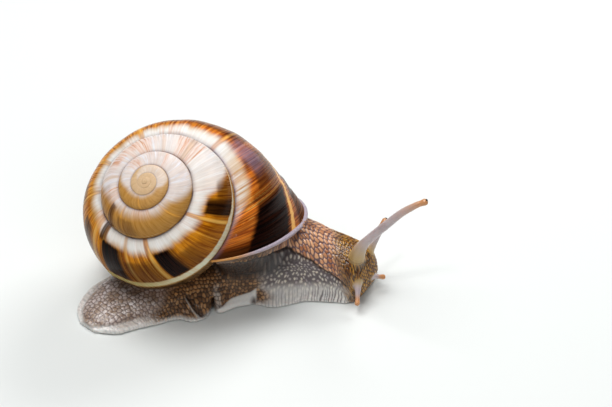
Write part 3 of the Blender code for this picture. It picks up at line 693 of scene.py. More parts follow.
# Along the body from the tail: x, y, half-width of the sole and of the trunk, and height.
TRUNK = (
    (-36.4, -21.4, 2.4, 1.6, 1.7),
    (-33.8, -18.6, 6.8, 5.0, 2.9),
    (-28.0, -12.8, 9.8, 7.6, 4.6),
    (-19.0, -7.4, 10.6, 8.6, 7.0),
    (-8.0, -3.8, 10.5, 8.6, 8.4),
    (2.0, -3.1, 10.4, 8.0, 11.0),
    (10.0, -3.2, 9.4, 7.3, 14.5),
    (15.5, -4.4, 8.2, 6.6, 12.8),
    (19.8, -6.0, 7.3, 6.0, 11.9),
    (22.8, -7.8, 6.2, 5.4, 11.3),
    (24.3, -8.9, 4.4, 4.1, 8.8),
    (25.2, -9.6, 2.2, 2.3, 5.6),
)
# Fullness of the cheeks, the brow and the two lobes beside the mouth: centre, radii and fillet.
HEAD_LUMPS = (
    ((21.0, -10.2, 6.4), (2.2, 2.2, 2.9), 1.8),
    ((21.4, -7.0, 6.4), (2.0, 2.0, 2.7), 1.4),
    ((23.2, -10.6, 2.4), (1.1, 1.1, 1.3), 1.0),
    ((23.9, -8.6, 2.2), (1.1, 1.1, 1.2), 1.0),
)
# The slope under the face: where it starts, which way it runs, its rise and its rounding.
CHIN_START = (23.4, -9.4)
CHIN_HEADING = (0.88, -0.47)
CHIN_SLOPE = 2.0
CHIN_ROUND = 1.0
CHIN_CORNERS = np.array(((19.0, -17.0, -2.9), (30.0, -3.0, 8.0)))
# The stalk's foot: its middle, its half-length and half-width, how far its waist draws in.
STALK_FOOT = (-1.0, -3.2, 4.0)
STALK_REACH = (9.5, 8.0)
STALK_WAIST = 0.1
STALK_FILLET = 3.0
SOLE_RIM = 1.3
TRUNK_WAIST = 0.42
TRUNK_ROWS = 260
FEELER_ROWS = 36
OUTLINE_STEPS = 4
# Feelers, root first: place and radius of each station.
UPPER_RIGHT = (
    (21.7, -9.2, 8.6, 1.6),
    (22.1, -9.8, 10.3, 1.62),
    (22.5, -10.1, 12.4, 1.52),
    (23.2, -10.4, 14.2, 1.24),
    (24.2, -10.7, 15.8, 1.02),
    (26.2, -11.2, 18.4, 0.94),
    (28.2, -11.7, 20.8, 0.92),
    (31.2, -12.2, 24.2, 0.84),
    (34.2, -12.6, 26.6, 0.7),
    (35.5, -12.7, 27.3, 0.64),
)
UPPER_LEFT = (
    (24.0, -6.1, 8.0, 1.4),
    (25.0, -5.2, 9.8, 1.2),
    (26.1, -4.3, 11.7, 0.98),
    (27.2, -3.4, 13.3, 0.82),
    (28.0, -2.7, 14.4, 0.72),
)
LOWER_RIGHT = (
    (22.2, -11.0, 6.0, 1.0),
    (22.3, -12.6, 5.0, 0.86),
    (22.3, -13.9, 4.0, 0.6),
    (22.2, -15.3, 2.9, 0.52),
)
LOWER_LEFT = (
    (23.2, -9.4, 4.7, 0.8),
    (24.8, -8.8, 4.5, 0.62),
    (26.2, -8.4, 4.2, 0.52),
    (27.5, -8.1, 3.9, 0.5),
)
UPPER_BULB = 0.8
LOWER_BULB = 0.62
# Each feeler's line, the radius of its tip, and the fillet at its root.
FEELERS = (
    (UPPER_RIGHT, UPPER_BULB, 0.9), (UPPER_LEFT, UPPER_BULB, 0.9),
    (LOWER_RIGHT, LOWER_BULB, 0.8), (LOWER_LEFT, LOWER_BULB, 0.8),
)


def smooth_rows(table, count):
    """Rows read at even steps from a smooth curve through the table's rows."""
    table = np.array(table, float)
    padded = np.vstack((2 * table[0] - table[1], table, 2 * table[-1] - table[-2]))
    place = np.linspace(0, len(table) - 1, count)
    index = np.minimum(place.astype(int), len(table) - 2)
    t = (place - index)[:, None]
    a, b, c, d = (padded[index + step] for step in range(4))
    return 0.5 * (2 * b + (c - a) * t + (2 * a - 5 * b + 4 * c - d) * t**2
                  + (3 * b - a - 3 * c + d) * t**3)


def section_outline(sole, trunk, height):
    """Half of a cross-section from the sole's middle up to the back, as (sideways, up)."""
    rim = min(SOLE_RIM, 0.5 * height)
    waist = TRUNK_WAIST * height
    half = [(0.0, 0.0), (0.5 * sole, 0.0), (0.93 * sole, 0.0), (sole, 0.4 * rim)]
    half += [(0.985 * sole, 0.8 * rim), (0.93 * sole, rim)]
    half.append((0.6 * trunk + 0.4 * 0.93 * sole, 0.5 * rim + 0.5 * max(waist, rim)))
    for step in range(6):
        bend = step * math.pi / 12
        half.append((trunk * math.cos(bend), waist + (height - waist) * math.sin(bend)))
    half.append((0.0, height))
    return smooth_rows(half, (len(half) - 1) * OUTLINE_STEPS + 1)


def run_length(line):
    """How far along a line each of its points lies."""
    return np.append(0.0, np.cumsum(np.linalg.norm(np.diff(line, axis=0), axis=1)))


BODY_ROWS = smooth_rows(TRUNK, TRUNK_ROWS)
BODY_LINE = BODY_ROWS[:, :2]
BODY_HEADING = unit(np.gradient(BODY_LINE, axis=0))
BODY_LENGTH = run_length(BODY_LINE)
SECTIONS = np.array([section_outline(*row[2:]) for row in BODY_ROWS])


def trunk_solid():
    rings = []
    for (x, y), heading, half in zip(BODY_LINE, BODY_HEADING, SECTIONS):
        side = np.array((-heading[1], heading[0], 0.0))
        centre = np.array((x, y, 0.0))
        left = [centre + side * across + (0, 0, up) for across, up in half]
        right = [centre - side * across + (0, 0, up) for across, up in half[-2:0:-1]]
        rings.append(left + right)
    return closed_loft(rings)


def mouth_ring(depth, share):
    """A ring of the mouth's shape, so far out from it and so large."""
    middle = MOUTH_MIDDLE - ORIGIN
    return middle + (mouth_loop(60, 1.15) - ORIGIN - middle) * share + MOUTH_FACING * depth


def stalk_solid():
    """From just inside the shell's mouth down into the foot."""
    top = mouth_ring(0.6, 0.93)
    middle = MOUTH_MIDDLE - ORIGIN
    angles = np.arctan2(top[:, 1] - middle[1], top[:, 0] - middle[0])
    (x, y, up), (length, width) = STALK_FOOT, STALK_REACH
    foot = np.stack((x + length * np.cos(angles), y + width * np.sin(angles), 0 * angles + up), -1)
    rings = [mouth_ring(-2.5, 0.8), mouth_ring(-0.6, 0.9), top]
    for share in (0.15, 0.35, 0.6, 0.8, 1.0):
        ring = top + (foot - top) * ramp(share, 0.0, 1.0)
        centre = ring.mean(0)
        rings.append(centre + (ring - centre) * (1 - STALK_WAIST * math.sin(math.pi * share)))
    return closed_loft(rings)


FIELD_SHAPE = np.ceil((FIELD_HIGH - FIELD_LOW) / CELL).astype(int)


def solid_field(solid):
    """Signed distance in millimetres from a closed solid, on the whole field's grid."""
    points, triangles = solid
    transform = openvdb.createLinearTransform(voxelSize=CELL)
    grid = openvdb.FloatGrid.createLevelSetFromPolygons(
        points - FIELD_LOW, triangles=triangles, transform=transform, halfWidth=BAND_CELLS
    )
    values = np.empty(tuple(FIELD_SHAPE), np.float32)
    grid.copyToArray(values)
    return values


def blended(first, second, reach):
    """Two distance fields joined with a fillet of this reach."""
    share = np.clip(0.5 + 0.5 * (second - first) / reach, 0.0, 1.0)
    return second * (1 - share) + first * share - reach * share * (1 - share)


def window(low, high):
    """The part of the grid between two corners, as slices, with its points."""
    first = np.clip(((low - FIELD_LOW) / CELL).astype(int), 0, FIELD_SHAPE - 1)
    last = np.clip(((high - FIELD_LOW) / CELL).astype(int) + 2, 1, FIELD_SHAPE)
    axes = [np.arange(a, b) * CELL + edge for a, b, edge in zip(first, last, FIELD_LOW)]
    places = np.stack(np.meshgrid(*axes, indexing="ij"), -1)
    return tuple(slice(a, b) for a, b in zip(first, last)), places


def feeler_line(feeler, bulb):
    """Centres and radii along a feeler, which ends in a rounded bulb."""
    rows = smooth_rows(feeler, FEELER_ROWS)
    end = rows[-1, :3] + unit(rows[-1, :3] - rows[-2, :3]) * bulb * 0.9
    return np.vstack((rows[:, :3], end)), np.append(rows[:, 3], bulb * 0.98)


def add_line(field, centres, radii, reach):
    """Joins a round-ended line of changing radius into the field."""
    margin = radii.max() + reach + 3 * CELL
    part, places = window(centres.min(0) - margin, centres.max(0) + margin)
    nearest = np.full(places.shape[:3], 1e3)
    for a, b, first, second in zip(centres[:-1], centres[1:], radii[:-1], radii[1:]):
        step = b - a
        share = np.clip(((places - a) @ step) / step.dot(step), 0.0, 1.0)
        away = np.linalg.norm(places - a - share[..., None] * step, axis=-1)
        nearest = np.minimum(nearest, away - (first + (second - first) * share))
    field[part] = blended(field[part], nearest.astype(np.float32), reach)


def add_ball(field, centre, radii, reach):
    """Joins an oval lump into the field."""
    centre, radii = np.array(centre), np.array(radii)
    margin = radii.max() + reach + 3 * CELL
    part, places = window(centre - margin, centre + margin)
    scaled = np.linalg.norm((places - centre) / radii, axis=-1)
    away = (scaled - 1.0) * radii.min()
    field[part] = blended(field[part], away.astype(np.float32), reach)


def carve_chin(field):
    """Cuts the underside of the face back to a slope that rises ahead of the sole."""
    part, places = window(*CHIN_CORNERS)
    ahead = (places[..., :2] - CHIN_START) @ np.array(CHIN_HEADING)
    slope = (CHIN_SLOPE * ahead - places[..., 2]) / math.hypot(CHIN_SLOPE, 1.0)
    field[part] = -blended(-field[part], -slope.astype(np.float32), CHIN_ROUND)


def build_field():
    field = blended(solid_field(trunk_solid()), solid_field(stalk_solid()), STALK_FILLET)
    for centre, radii, reach in HEAD_LUMPS:
        add_ball(field, centre, radii, reach)
    carve_chin(field)
    for feeler, bulb, reach in FEELERS:
        add_line(field, *feeler_line(feeler, bulb), reach)
    return field


def skin_surface():
    """The field's surface as points in millimetres and faces of four corners."""
    grid = openvdb.FloatGrid(float(BAND_CELLS * CELL))
    grid.copyFromArray(build_field())
    grid.transform = openvdb.createLinearTransform(voxelSize=CELL)
    points, quads = grid.convertToQuads(0.0)
    return points.astype(float) + FIELD_LOW, quads.astype(np.int64)


EASE_ROUNDS = 4
EASE_PULL = 0.5


def eased(points, quads):
    """Points drawn towards the middle of their neighbours, then let out again."""
    first = quads.ravel()
    second = np.roll(quads, -1, axis=1).ravel()
    count = np.bincount(first, minlength=len(points)) + np.bincount(second, minlength=len(points))
    for _ in range(EASE_ROUNDS):
        for amount in (EASE_PULL, -EASE_PULL * 1.04):
            total = np.zeros_like(points)
            for axis in range(3):
                total[:, axis] = np.bincount(first, points[second, axis], len(points))
                total[:, axis] += np.bincount(second, points[first, axis], len(points))
            points = points + amount * (total / count[:, None] - points)
    return points


def finer(points, quads):
    """The same surface with each face parted in four and its corners smoothed."""
    piece = mesh_piece("finer", points, quads, {})
    piece.modifiers.new("finer", "SUBSURF").levels = 1
    shaped = piece.evaluated_get(bpy.context.evaluated_depsgraph_get())
    mesh = shaped.to_mesh()
    found = np.empty(len(mesh.vertices) * 3, np.float32)
    mesh.vertices.foreach_get("co", found)
    corners = np.empty(len(mesh.loops), np.int32)
    mesh.loops.foreach_get("vertex_index", corners)
    shaped.to_mesh_clear()
    rough = piece.data
    bpy.data.objects.remove(piece)
    bpy.data.meshes.remove(rough)
    return found.reshape(-1, 3).astype(float) / MM, corners.reshape(-1, 4)


def point_normals(points, quads):
    """Unit vectors out of the surface at its points."""
    corners = points[quads]
    faces = np.cross(corners[:, 2] - corners[:, 0], corners[:, 3] - corners[:, 1])
    normals = np.stack([
        sum(np.bincount(quads[:, corner], faces[:, axis], len(points)) for corner in range(4))
        for axis in range(3)
    ], -1)
    return unit(normals)


def nearest_of(points, places, radii):
    """Which of these round places is nearest to each point, and how far off its edge is."""
    index = np.zeros(len(points), int)
    nearest = np.full(len(points), 1e3)
    for number, (place, radius) in enumerate(zip(places, radii)):
        away = np.linalg.norm(points - place, axis=1) - radius
        closer = away < nearest
        index[closer] = number
        nearest[closer] = away[closer]
    return index, nearest


ROUND_STEPS = 64
MIDDLE_SHARE = 0.35


def section_girths():
    """For each section, how far round it lies from the back's middle, at even angles."""
    bends = np.linspace(0, math.pi, ROUND_STEPS)
    girths = np.empty((TRUNK_ROWS, ROUND_STEPS))
    for index, half in enumerate(SECTIONS):
        up = half[::-1]
        turned = np.arctan2(up[:, 0], up[:, 1] - MIDDLE_SHARE * BODY_ROWS[index, 4])
        girths[index] = np.interp(bends, turned, run_length(up))
    return girths


GIRTHS = section_girths()


def body_place(points):
    """For each point: length along the body, distance round from the back's middle line, which
    side it is on, how far across the body it is, and its row."""
    row, _ = nearest_of(points[:, :2], BODY_LINE, 0 * BODY_LENGTH)
    ahead = points[:, :2] - BODY_LINE[row]
    heading = BODY_HEADING[row]
    along = BODY_LENGTH[row] + (ahead * heading).sum(1)
    across = ahead[:, 1] * heading[:, 0] - ahead[:, 0] * heading[:, 1]
    height = points[:, 2] - MIDDLE_SHARE * BODY_ROWS[row, 4]
    angle = np.arctan2(np.abs(across), height)
    step = angle / math.pi * (ROUND_STEPS - 1)
    lower = np.minimum(step.astype(int), ROUND_STEPS - 2)
    part = step - lower
    around = GIRTHS[row, lower] * (1 - part) + GIRTHS[row, lower + 1] * part
    raised = ramp(points[:, 2], 7.0, 9.5) * ramp(points[:, 0], 17.0, 12.0)
    around = around + (0.85 * angle * np.hypot(across, height) - around) * raised
    return along, around, np.sign(across), across, row


BEAD_ROWS = 128


def beads(along, around, length, width, slant, seed, jitter, stagger=0.5):
    """Staggered rows of skin beads: (distance to the nearest middle, to the edge, own value)."""
    slide = math.radians(slant)
    u = (along * math.cos(slide) + around * math.sin(slide)) / length
    v = (-along * math.sin(slide) + around * math.cos(slide)) / width
    table = np.random.RandomState(seed).uniform(-1, 1, (3, BEAD_ROWS, BEAD_ROWS))
    row0 = np.floor(v).astype(int)
    nearest = np.full(u.shape, 9.0)
    second = np.full(u.shape, 9.0)
    own = np.zeros(u.shape)
    for rise in (-1, 0, 1):
        row = row0 + rise
        shift = stagger * (row % 2)
        column0 = np.floor(u - shift).astype(int)
        for run in (-1, 0, 1):
            column = column0 + run
            a, b = row % BEAD_ROWS, column % BEAD_ROWS
            middle_u = column + 0.5 + shift + jitter * table[0, a, b]
            middle_v = row + 0.5 + jitter * table[1, a, b]
            away = np.hypot(u - middle_u, v - middle_v)
            closer = away < nearest
            second = np.where(closer, nearest, np.minimum(second, away))
            own = np.where(closer, table[2, a, b], own)
            nearest = np.where(closer, away, nearest)
    return nearest, second - nearest, own


def feeler_marks(points):
    """How far each point belongs to a feeler, how near the tip it is, and the feeler's rings."""
    feeler, tip, ring = np.zeros((3, len(points)))
    for line, bulb, _ in FEELERS:
        index, away = nearest_of(points, *feeler_line(line, bulb))
        share, near = index / FEELER_ROWS, ramp(away, 0.55, 0.1)
        feeler = np.maximum(feeler, near * ramp(share, 0.06, 0.16))
        tip = np.maximum(tip, near * share)
        ring = np.maximum(ring, near * (0.5 + 0.5 * np.sin(FEELER_RINGS * share)))
    return feeler, tip, ring


# Height of the long crease between neck and foot, by place along the body.
CREASE = (
    (-9.0, 14.0), (-3.0, 13.8), (4.0, 13.2), (8.0, 11.7), (12.0, 9.8), (15.0, 7.7), (18.0, 5.9),
    (20.5, 4.5),
)
# The beads of neck, head, front, middle and tail: length, width and slant; seed, how far each one
# strays, how far each other row is set off; height and width of furrow in the relief; and where
# the dark furrow shows, from the bead's edge inwards and from its middle outwards, with strengths.
# The dark furrow is partly the skin's own darker grooves and partly painted shade that deepens
# towards each bead's edge.
BEADS = (
    (1.52, 0.68, 34.0, 41, 0.24, 0.5, 0.21, 0.42, (1.0, 0.5, 0.0), (1.0, 0.34, 0.66)),
    (1.18, 0.5, 44.0, 42, 0.28, 0.5, 0.19, 0.45, (1.0, 0.5, 0.0), (1.0, 0.3, 0.62)),
    (1.0, 1.12, 0.0, 43, 0.3, 0.5, 0.12, 0.55, (0.0, 0.5, 0.0), (1.0, 0.17, 0.4)),
    (0.96, 0.82, 8.0, 44, 0.25, 0.3, 0.17, 0.42, (1.0, 0.42, 0.0), (0.7, 0.36, 0.62)),
    (1.06, 0.94, 10.0, 45, 0.3, 0.5, 0.08, 0.36, (1.0, 0.38, 0.04), (0.0, 0.36, 0.62)),
)
FACE_BEADS = (0.95, 0.5, 0.0, 46, 0.25)
FACE_START = (25.0, 26.2)
HEAD, FRONT, TAIL = 1, 2, 4
# Where head, neck, front and tail begin, along the body.
HEAD_START = (17.4, 20.6)
NECK_START = (1.0, 5.0)
FRONT_START = (0.6, 4.8)
TAIL_START = (-22.5, -26.5)
# How high or deep the skin's forms are, in millimetres.
RIB_DEPTH = 0.11
FOLD_RISE = 0.2
CREASE_DEPTH = 0.38
CLEFT_DEPTH = 0.62
MARGIN_RISE = 0.42
EDGE_RISE = 0.22
GROOVE_DEPTH = 0.5
HOLLOW_DEPTH = 0.9
BLOTCH_RISE = 0.1
RING_RISE = 0.018
FEELER_RINGS = 190.0
RIB_SPACING = 0.84
MOUTH_ASIDE = 3.3
LIP_COVER = 0.9
NOTCH_PLACE = -9.4
# The near edge of the foot: the top of its smooth margin, and the line of the fold behind it.
MARGIN_TOP = ((-8.6, 0.9), (-7.0, 1.3), (-5.4, 2.0), (-3.2, 2.3), (-1.2, 2.8), (0.2, 4.0))
FOLD_LINE = ((-15.6, 4.0), (-14.8, 3.0), (-13.7, 1.9), (-12.0, 0.9), (-10.3, 0.1))


def between(value, rise, full, fall, end):
    """0 outside rise and end, 1 from full to fall, smooth between."""
    return ramp(value, rise, full) * ramp(value, end, fall)


def bump_at(value, middle, width):
    return np.exp(-(((value - middle) / width) ** 2))


def bead_marks(regions, along, around, height, ahead, aside, patchy):
    """The beads' relief, the dark furrows between them (partly painted shade), and each bead's own
    tone.
    """
    total = np.zeros((3, len(along)))
    face = ramp(ahead, *FACE_START)
    for index, (mask, kind) in enumerate(zip(regions, BEADS)):
        rise, groove, gap, hollow = kind[6:]
        nearest, edge, own = beads(along, around, *kind[:6])
        if index == HEAD:
            on_face = beads(height, aside, *FACE_BEADS)
            nearest, edge, own = (
                a * (1 - face) + b * face for a, b in zip((nearest, edge, own), on_face)
            )
        top = ramp(edge, 0.0, groove) * (1 - 0.45 * np.clip(nearest, 0, 0.8) ** 2)
        top = rise * top * (0.85 + 0.15 * own)
        low = np.maximum(gap[0] * ramp(edge, *gap[1:]), hollow[0] * ramp(nearest, *hollow[1:]))
        if index == FRONT:
            top = top * ramp(height, 1.2, 3.0)
            low = low * (0.5 + 0.5 * ramp(height, 2.5, 5.5))
        if index == TAIL:
            own = 0.7 * own + 0.9 * patchy
        total += mask * np.stack((top, low, own))
    return total


def foot_edge(x, height):
    """The smooth margin that overhangs the front foot, the hollow at its end, the edge and groove
    of the fold that rolls down to the notch, the notch, and the blotched patch beside it. The
    fold's edge and the blotches are painted pale as highlights."""
    top = read(MARGIN_TOP, x)
    margin = between(x, -8.9, -8.1, -0.2, 0.4) * ramp(height, top + 0.14, top - 0.14)
    bulge = np.sqrt(np.clip(1 - (2 * height / top - 1) ** 2, 0, 1))
    hollow = bump_at(x, -0.5, 0.55) * bump_at(height, 0.9, 0.8)
    span = between(x, -15.6, -14.9, -10.6, -10.1)
    above_fold = height - read(FOLD_LINE, x)
    notch = bump_at(x, NOTCH_PLACE, 0.7) * ramp(height, 3.2, 1.0)
    patched = between(x, -9.6, -8.8, -7.4, -6.4) * between(height, 0.4, 1.0, 4.0, 5.6)
    edge, groove = span * bump_at(above_fold, 0.0, 0.22), span * bump_at(above_fold, 0.45, 0.35)
    return margin, bulge, hollow, edge, groove, notch, patched


def skin_marks(points):
    """The relief in millimetres and the colour masks of the skin."""
    along, around, side, _, _ = body_place(points)
    x, height = points[:, 0], points[:, 2]
    slow = wander(along / 2.3 + 7 * side, 31)
    patchy = wander(around / 1.3 + 5 * side, 33) + 0.6 * wander(along / 0.9 - around / 0.7, 34)
    crease = read(CREASE, x) + 0.25 * wander(along / 1.7, 32)
    above = ramp(height, crease - 0.35, crease + 0.35)
    # Regions of the skin.
    head = ramp(x + 0.25 * (height - 6) + 0.5 * patchy, *HEAD_START)
    neck = above * (1 - head) * ramp(x, *NECK_START)
    front = ramp(x + 0.2 * height + 0.5 * slow + 0.9 * patchy, *FRONT_START)
    front = front * (1 - above) * (1 - head)
    tail = ramp(x - 1.2 * height + 0.8 * slow + 0.8 * patchy, *TAIL_START)
    middle = np.clip(1 - head - neck - front - tail, 0.0, 1.0)
    feeler, tip, ring = feeler_marks(points)
    # Beads of each region, in rows that wander a little.
    along, around = (
        along + 0.22 * wander(around / 1.1 + 40, 61), around + 0.2 * wander(along / 1.4 + 40, 62)
    )
    ahead = x * CHIN_HEADING[0] + points[:, 1] * CHIN_HEADING[1]
    aside = points[:, 1] * CHIN_HEADING[0] - x * CHIN_HEADING[1]
    regions = (neck, head, front, middle, tail)
    tall, furrow, own = bead_marks(regions, along, around, height, ahead, aside, patchy)
    furrow = np.clip(furrow, 0, 1)
    # Upright furrows above the foot's rim, and the rim's own fine ribs.
    sway = 0.5 * wander(along / 1.5 + 0.15 * height, 51)
    comb = np.sin(2 * math.pi * (along / RIB_SPACING + sway))
    fringe = ramp(height, 4.2 + 1.4 * ramp(x, 6.0, 14.0), 2.0) * ramp(height, 0.1, 0.5) * (1 - head)
    ribs = ramp(comb, 0.0, 0.95) * fringe * (0.18 + (0.26 + 0.46 * ramp(x, 10.5, 14.5)) * front)
    relief = tall * (1 - 0.75 * fringe * front) - RIB_DEPTH * ribs
    # The long crease, the mouth's short upright cleft, and loose folds across the body.
    crease_deep = bump_at(height, crease, 0.3) * between(x, -9.0, -3.0, 18.5, 21.0)
    cleft = bump_at(aside, MOUTH_ASIDE, 0.28) * ramp(ahead, 24.6, 25.4)
    cleft = cleft * between(height, 1.2, 1.9, 3.3, 4.3)
    folds = np.abs(wander(along / 3.1 + 0.1 * around, 52)) ** 0.7
    relief += FOLD_RISE * (folds - 0.5) * (1 - head) * (1 - neck) * (1 - feeler)
    relief -= CREASE_DEPTH * crease_deep + CLEFT_DEPTH * cleft
    # The near edge of the foot.
    margin, bulge, *others = foot_edge(x, height)
    near = side < 0
    margin = near * margin
    hollow, fold_edge, fold_groove, notch, patched = (near * mask for mask in others)
    relief = relief * (1 - 0.9 * margin) + MARGIN_RISE * margin * bulge
    relief += EDGE_RISE * fold_edge - GROOVE_DEPTH * fold_groove - HOLLOW_DEPTH * hollow
    # Raised blotches beside the notch, painted pale as wet glints: painted highlights.
    glint_blotch = ramp(wander(along / 0.9, 53) + 0.8 * wander(around / 1.1, 54), -0.6, 0.5)
    relief += BLOTCH_RISE * patched * glint_blotch
    pale = np.maximum(margin, 0.62 * patched * glint_blotch * (1 - 0.7 * furrow))
    # A painted highlight along the fold's edge.
    pale = np.maximum(pale, 0.7 * fold_edge)
    relief = (relief * (1 - feeler) + RING_RISE * ring * feeler) * ramp(height, 0.05, 0.5)
    # The pale rim, and the shade behind the foot, under the shell and in every deep place.
    rim = ramp(height, 1.4 + 0.6 * tail, 0.5 + 0.3 * tail) * (1 - head)
    rim = np.maximum(rim, 0.62 * front * ramp(height, 5.0, 2.6))
    rim = np.clip(np.maximum(rim, pale), 0, 1)
    # Painted shade: high up under the shell, along the shell's free edge, and in the crease, the
    # notch, the hollow, the fold's groove and the mouth's cleft.
    shade = ramp(height, 4.8, 9.0) * ramp(x, 12.0, 2.0) * (1 - above)
    under_lip = ramp(lip_distance(points), 4.2, 1.0) * (1 - 0.5 * neck * ramp(x, 4.0, 9.0))
    shade = np.maximum(shade, 0.92 * under_lip)
    painted_shade = 0.8 * crease_deep + notch + hollow + 0.7 * fold_groove + shade + cleft
    marks = {
        "cells": (furrow, own, ribs * (1 - margin)), "upper": regions[:3],
        "lower": (middle, tail, rim), "extra": (feeler, tip, np.clip(painted_shade, 0, 1)),
    }
    return relief, {label: np.stack(masks, -1) for label, masks in marks.items()}


def lip_distance(points):
    """How far each point is from the shell's free edge."""
    edge = mouth_line(160)[0] - ORIGIN
    return nearest_of(points, edge, np.zeros(160))[1]


def tucked(points):
    """Draws the neck's root in under the shell's free edge, so that none of it shows above."""
    middle = MOUTH_MIDDLE - ORIGIN
    level = unit(np.cross(MOUTH_FACING, (0.0, 0.0, 1.0)))
    square = np.cross(MOUTH_FACING, level)
    edge = mouth_line(240)[0] - ORIGIN - middle
    angles = np.arctan2(edge @ square, edge @ level)
    reaches = np.hypot(edge @ square, edge @ level)
    away = points - middle
    across, up = away @ level, away @ square
    radius = np.hypot(across, up)
    order = np.argsort(angles)
    bearing = np.arctan2(up, across)
    limit = np.interp(bearing, angles[order], reaches[order], period=2 * math.pi) - LIP_COVER
    over = np.maximum(radius - limit, 0.0) / np.maximum(radius, 1.0)
    near = ramp(away @ MOUTH_FACING, 1.5, 0.1) * ramp(lip_distance(points), 3.6, 2.2)
    pull = (near * over)[:, None]
    return points - pull * (across[:, None] * level + up[:, None] * square)


# Outward shift of the sole's near edge, by place along the body, and the depth of its notch.
EDGE_LOBES = (
    (-22.0, 0.0), (-18.0, 0.1), (-16.2, 0.7), (-14.4, 2.3), (-12.8, 3.1), (-11.4, 2.7),
    (-10.3, 2.0), (-9.5, 1.0), (-8.6, 1.2), (-7.2, 1.5), (-5.4, 0.8), (-3.6, 0.1), (-1.2, -0.3),
    (0.8, 0.0), (2.6, 0.9), (4.6, 1.2), (7.0, 0.8), (10.0, 0.0),
)
NOTCH_DEPTH = 2.1


def lobed(points):
    """The near edge of the sole, which lies in uneven lobes with one deep notch."""
    _, _, _, across, row = body_place(points)
    x, height = points[:, 0], points[:, 2]
    lobe = read(EDGE_LOBES, x) * ramp(height, 5.2, 0.4)
    notch = NOTCH_DEPTH * bump_at(x, NOTCH_PLACE, 0.62) * ramp(height, 3.4, 1.2)
    outer = ramp(-across / BODY_ROWS[row, 2], 0.25, 0.85)
    moved = points.copy()
    moved[:, 1] -= (lobe - notch) * outer
    return moved


def build_skin():
    points, quads = skin_surface()
    points = eased(points, quads)
    points, quads = finer(points, quads)
    points = tucked(lobed(points))
    relief, marks = skin_marks(points)
    points = points + point_normals(points, quads) * relief[:, None]
    points[:, 2] = np.maximum(points[:, 2], 0.0)
    return mesh_piece("skin", points + ORIGIN, quads, marks)


GRAIN = noise_effect("even grain", (), "Grain", Detail=3.0)
# The tones of tail, middle, front, neck and head: dim and bright bead, and furrow.
SKIN_TONES = (
    ((152, 130, 112), (206, 195, 192), (108, 90, 84)),
    ((94, 64, 38), (186, 142, 96), (36, 24, 16)),
    ((158, 148, 148), (220, 210, 194), (84, 74, 78)),
    ((168, 112, 74), (234, 186, 146), (84, 70, 84)),
    ((118, 72, 18), (200, 150, 62), (34, 20, 20)),
)


def skin_material():
    material, tree, inputs = new_material(
        "damp beaded skin", Subsurface_Weight=0.22, Subsurface_Radius=(1.0, 0.6, 0.45),
        Subsurface_Scale=0.0006, Coat_Weight=0.6, Coat_Roughness=0.13,
    )
    furrow, own, ribs = parted(tree, "cells")
    neck, head, front = parted(tree, "upper")
    middle, tail, rim = parted(tree, "lower")
    feeler, reach, painted_shade = parted(tree, "extra")
    clouds, grains = placed(tree, GRAIN, 260.0), placed(tree, GRAIN, 2600.0)
    value = scaled(tree, own, 0.45, scaled(tree, grains, 0.5, clouds))
    value = reckoned(tree, "ADD", value, -0.25)
    top, low = (160, 140, 124), (90, 76, 72)
    for mask, (dim, bright, deep) in zip((tail, middle, front, neck, head), SKIN_TONES):
        top = mixed(tree, mask, top, mixed(tree, value, dim, bright))
        low = mixed(tree, mask, low, deep)
    stem = mixed(tree, clouds, (158, 140, 142), (206, 194, 194))
    stem = mixed(tree, eased_value(tree, reach, 0.5, 0.1), stem, (184, 156, 104))
    stem = mixed(tree, eased_value(tree, reach, 0.66, 1.0), stem, (198, 144, 98))
    # Over the beads: the furrow tone, partly painted shade; the pale rim tone, which also lays
    # painted highlights on the fold's edge and by the notch; the ribs; painted shade, multiplied
    # in; the feelers; and a fine grain.
    colour = layered(
        tree, top, (furrow, 0.9, low), (rim, 0.88, (232, 230, 226)), (ribs, 0.9, (92, 82, 82)),
        (painted_shade, 0.95, (84, 72, 66), "MULTIPLY"), (feeler, 1.0, stem), (grains, 0.14, (96, 74, 66)),
    )
    fed(tree, inputs["Base Color"], colour)
    fed(tree, inputs["Roughness"], scaled(tree, furrow, -0.12, 0.44))
    bumped(tree, inputs, grains, 0.4, 0.00008)
    return material


FLESH = (
    "mantle_collar", "stalk", "tail", "foot_rear", "foot_middle", "foot_front", "neck", "head",
    "upper_feeler_right_base", "upper_feeler_right_shaft", "upper_feeler_right_tip",
    "upper_feeler_left_base", "upper_feeler_left_tip", "lower_feeler_right", "lower_feeler_left",
)
skin = build_skin()
skin.data.materials.append(skin_material())
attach(skin, "root")
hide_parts(*FLESH)

# ------------------------------------------------------------------------------------ eyes
# The two eyes, small dark beads let into the ends of the upper feelers, glossy under a film of
# damp skin. Each is a ball a little flattened along its feeler.

EYE_RADIUS = 0.36
EYE_SINK = 0.26
EYE_RINGS = 40
EYE_LIFT = 0.7
EYE_FLATNESS = 0.92


def eye_centre(feeler):
    centres, _ = feeler_line(feeler, UPPER_BULB)
    along = unit(centres[-1] - centres[-3])
    outward = unit(along + np.array((0.0, 0.0, EYE_LIFT)))
    return centres[-1] + outward * (UPPER_BULB - EYE_SINK) + ORIGIN, along


def build_eye(name, feeler):
    centre, along = eye_centre(feeler)
    level = unit(np.cross(along, (0.0, 0.0, 1.0)))
    polar = np.linspace(math.pi, 0.0, EYE_RINGS + 2)[1:-1, None, None]
    turned = np.linspace(0.0, 2 * math.pi, 2 * EYE_RINGS, endpoint=False)[None, :, None]
    ring = np.cos(turned) * level + np.sin(turned) * np.cross(along, level)
    ball = np.sin(polar) * ring + EYE_FLATNESS * np.cos(polar) * along
    depth = np.cos(polar) * np.array((1.0, 0.0, 0.0)) * np.ones_like(ball)
    return ring_piece(name, centre + EYE_RADIUS * ball, depth)


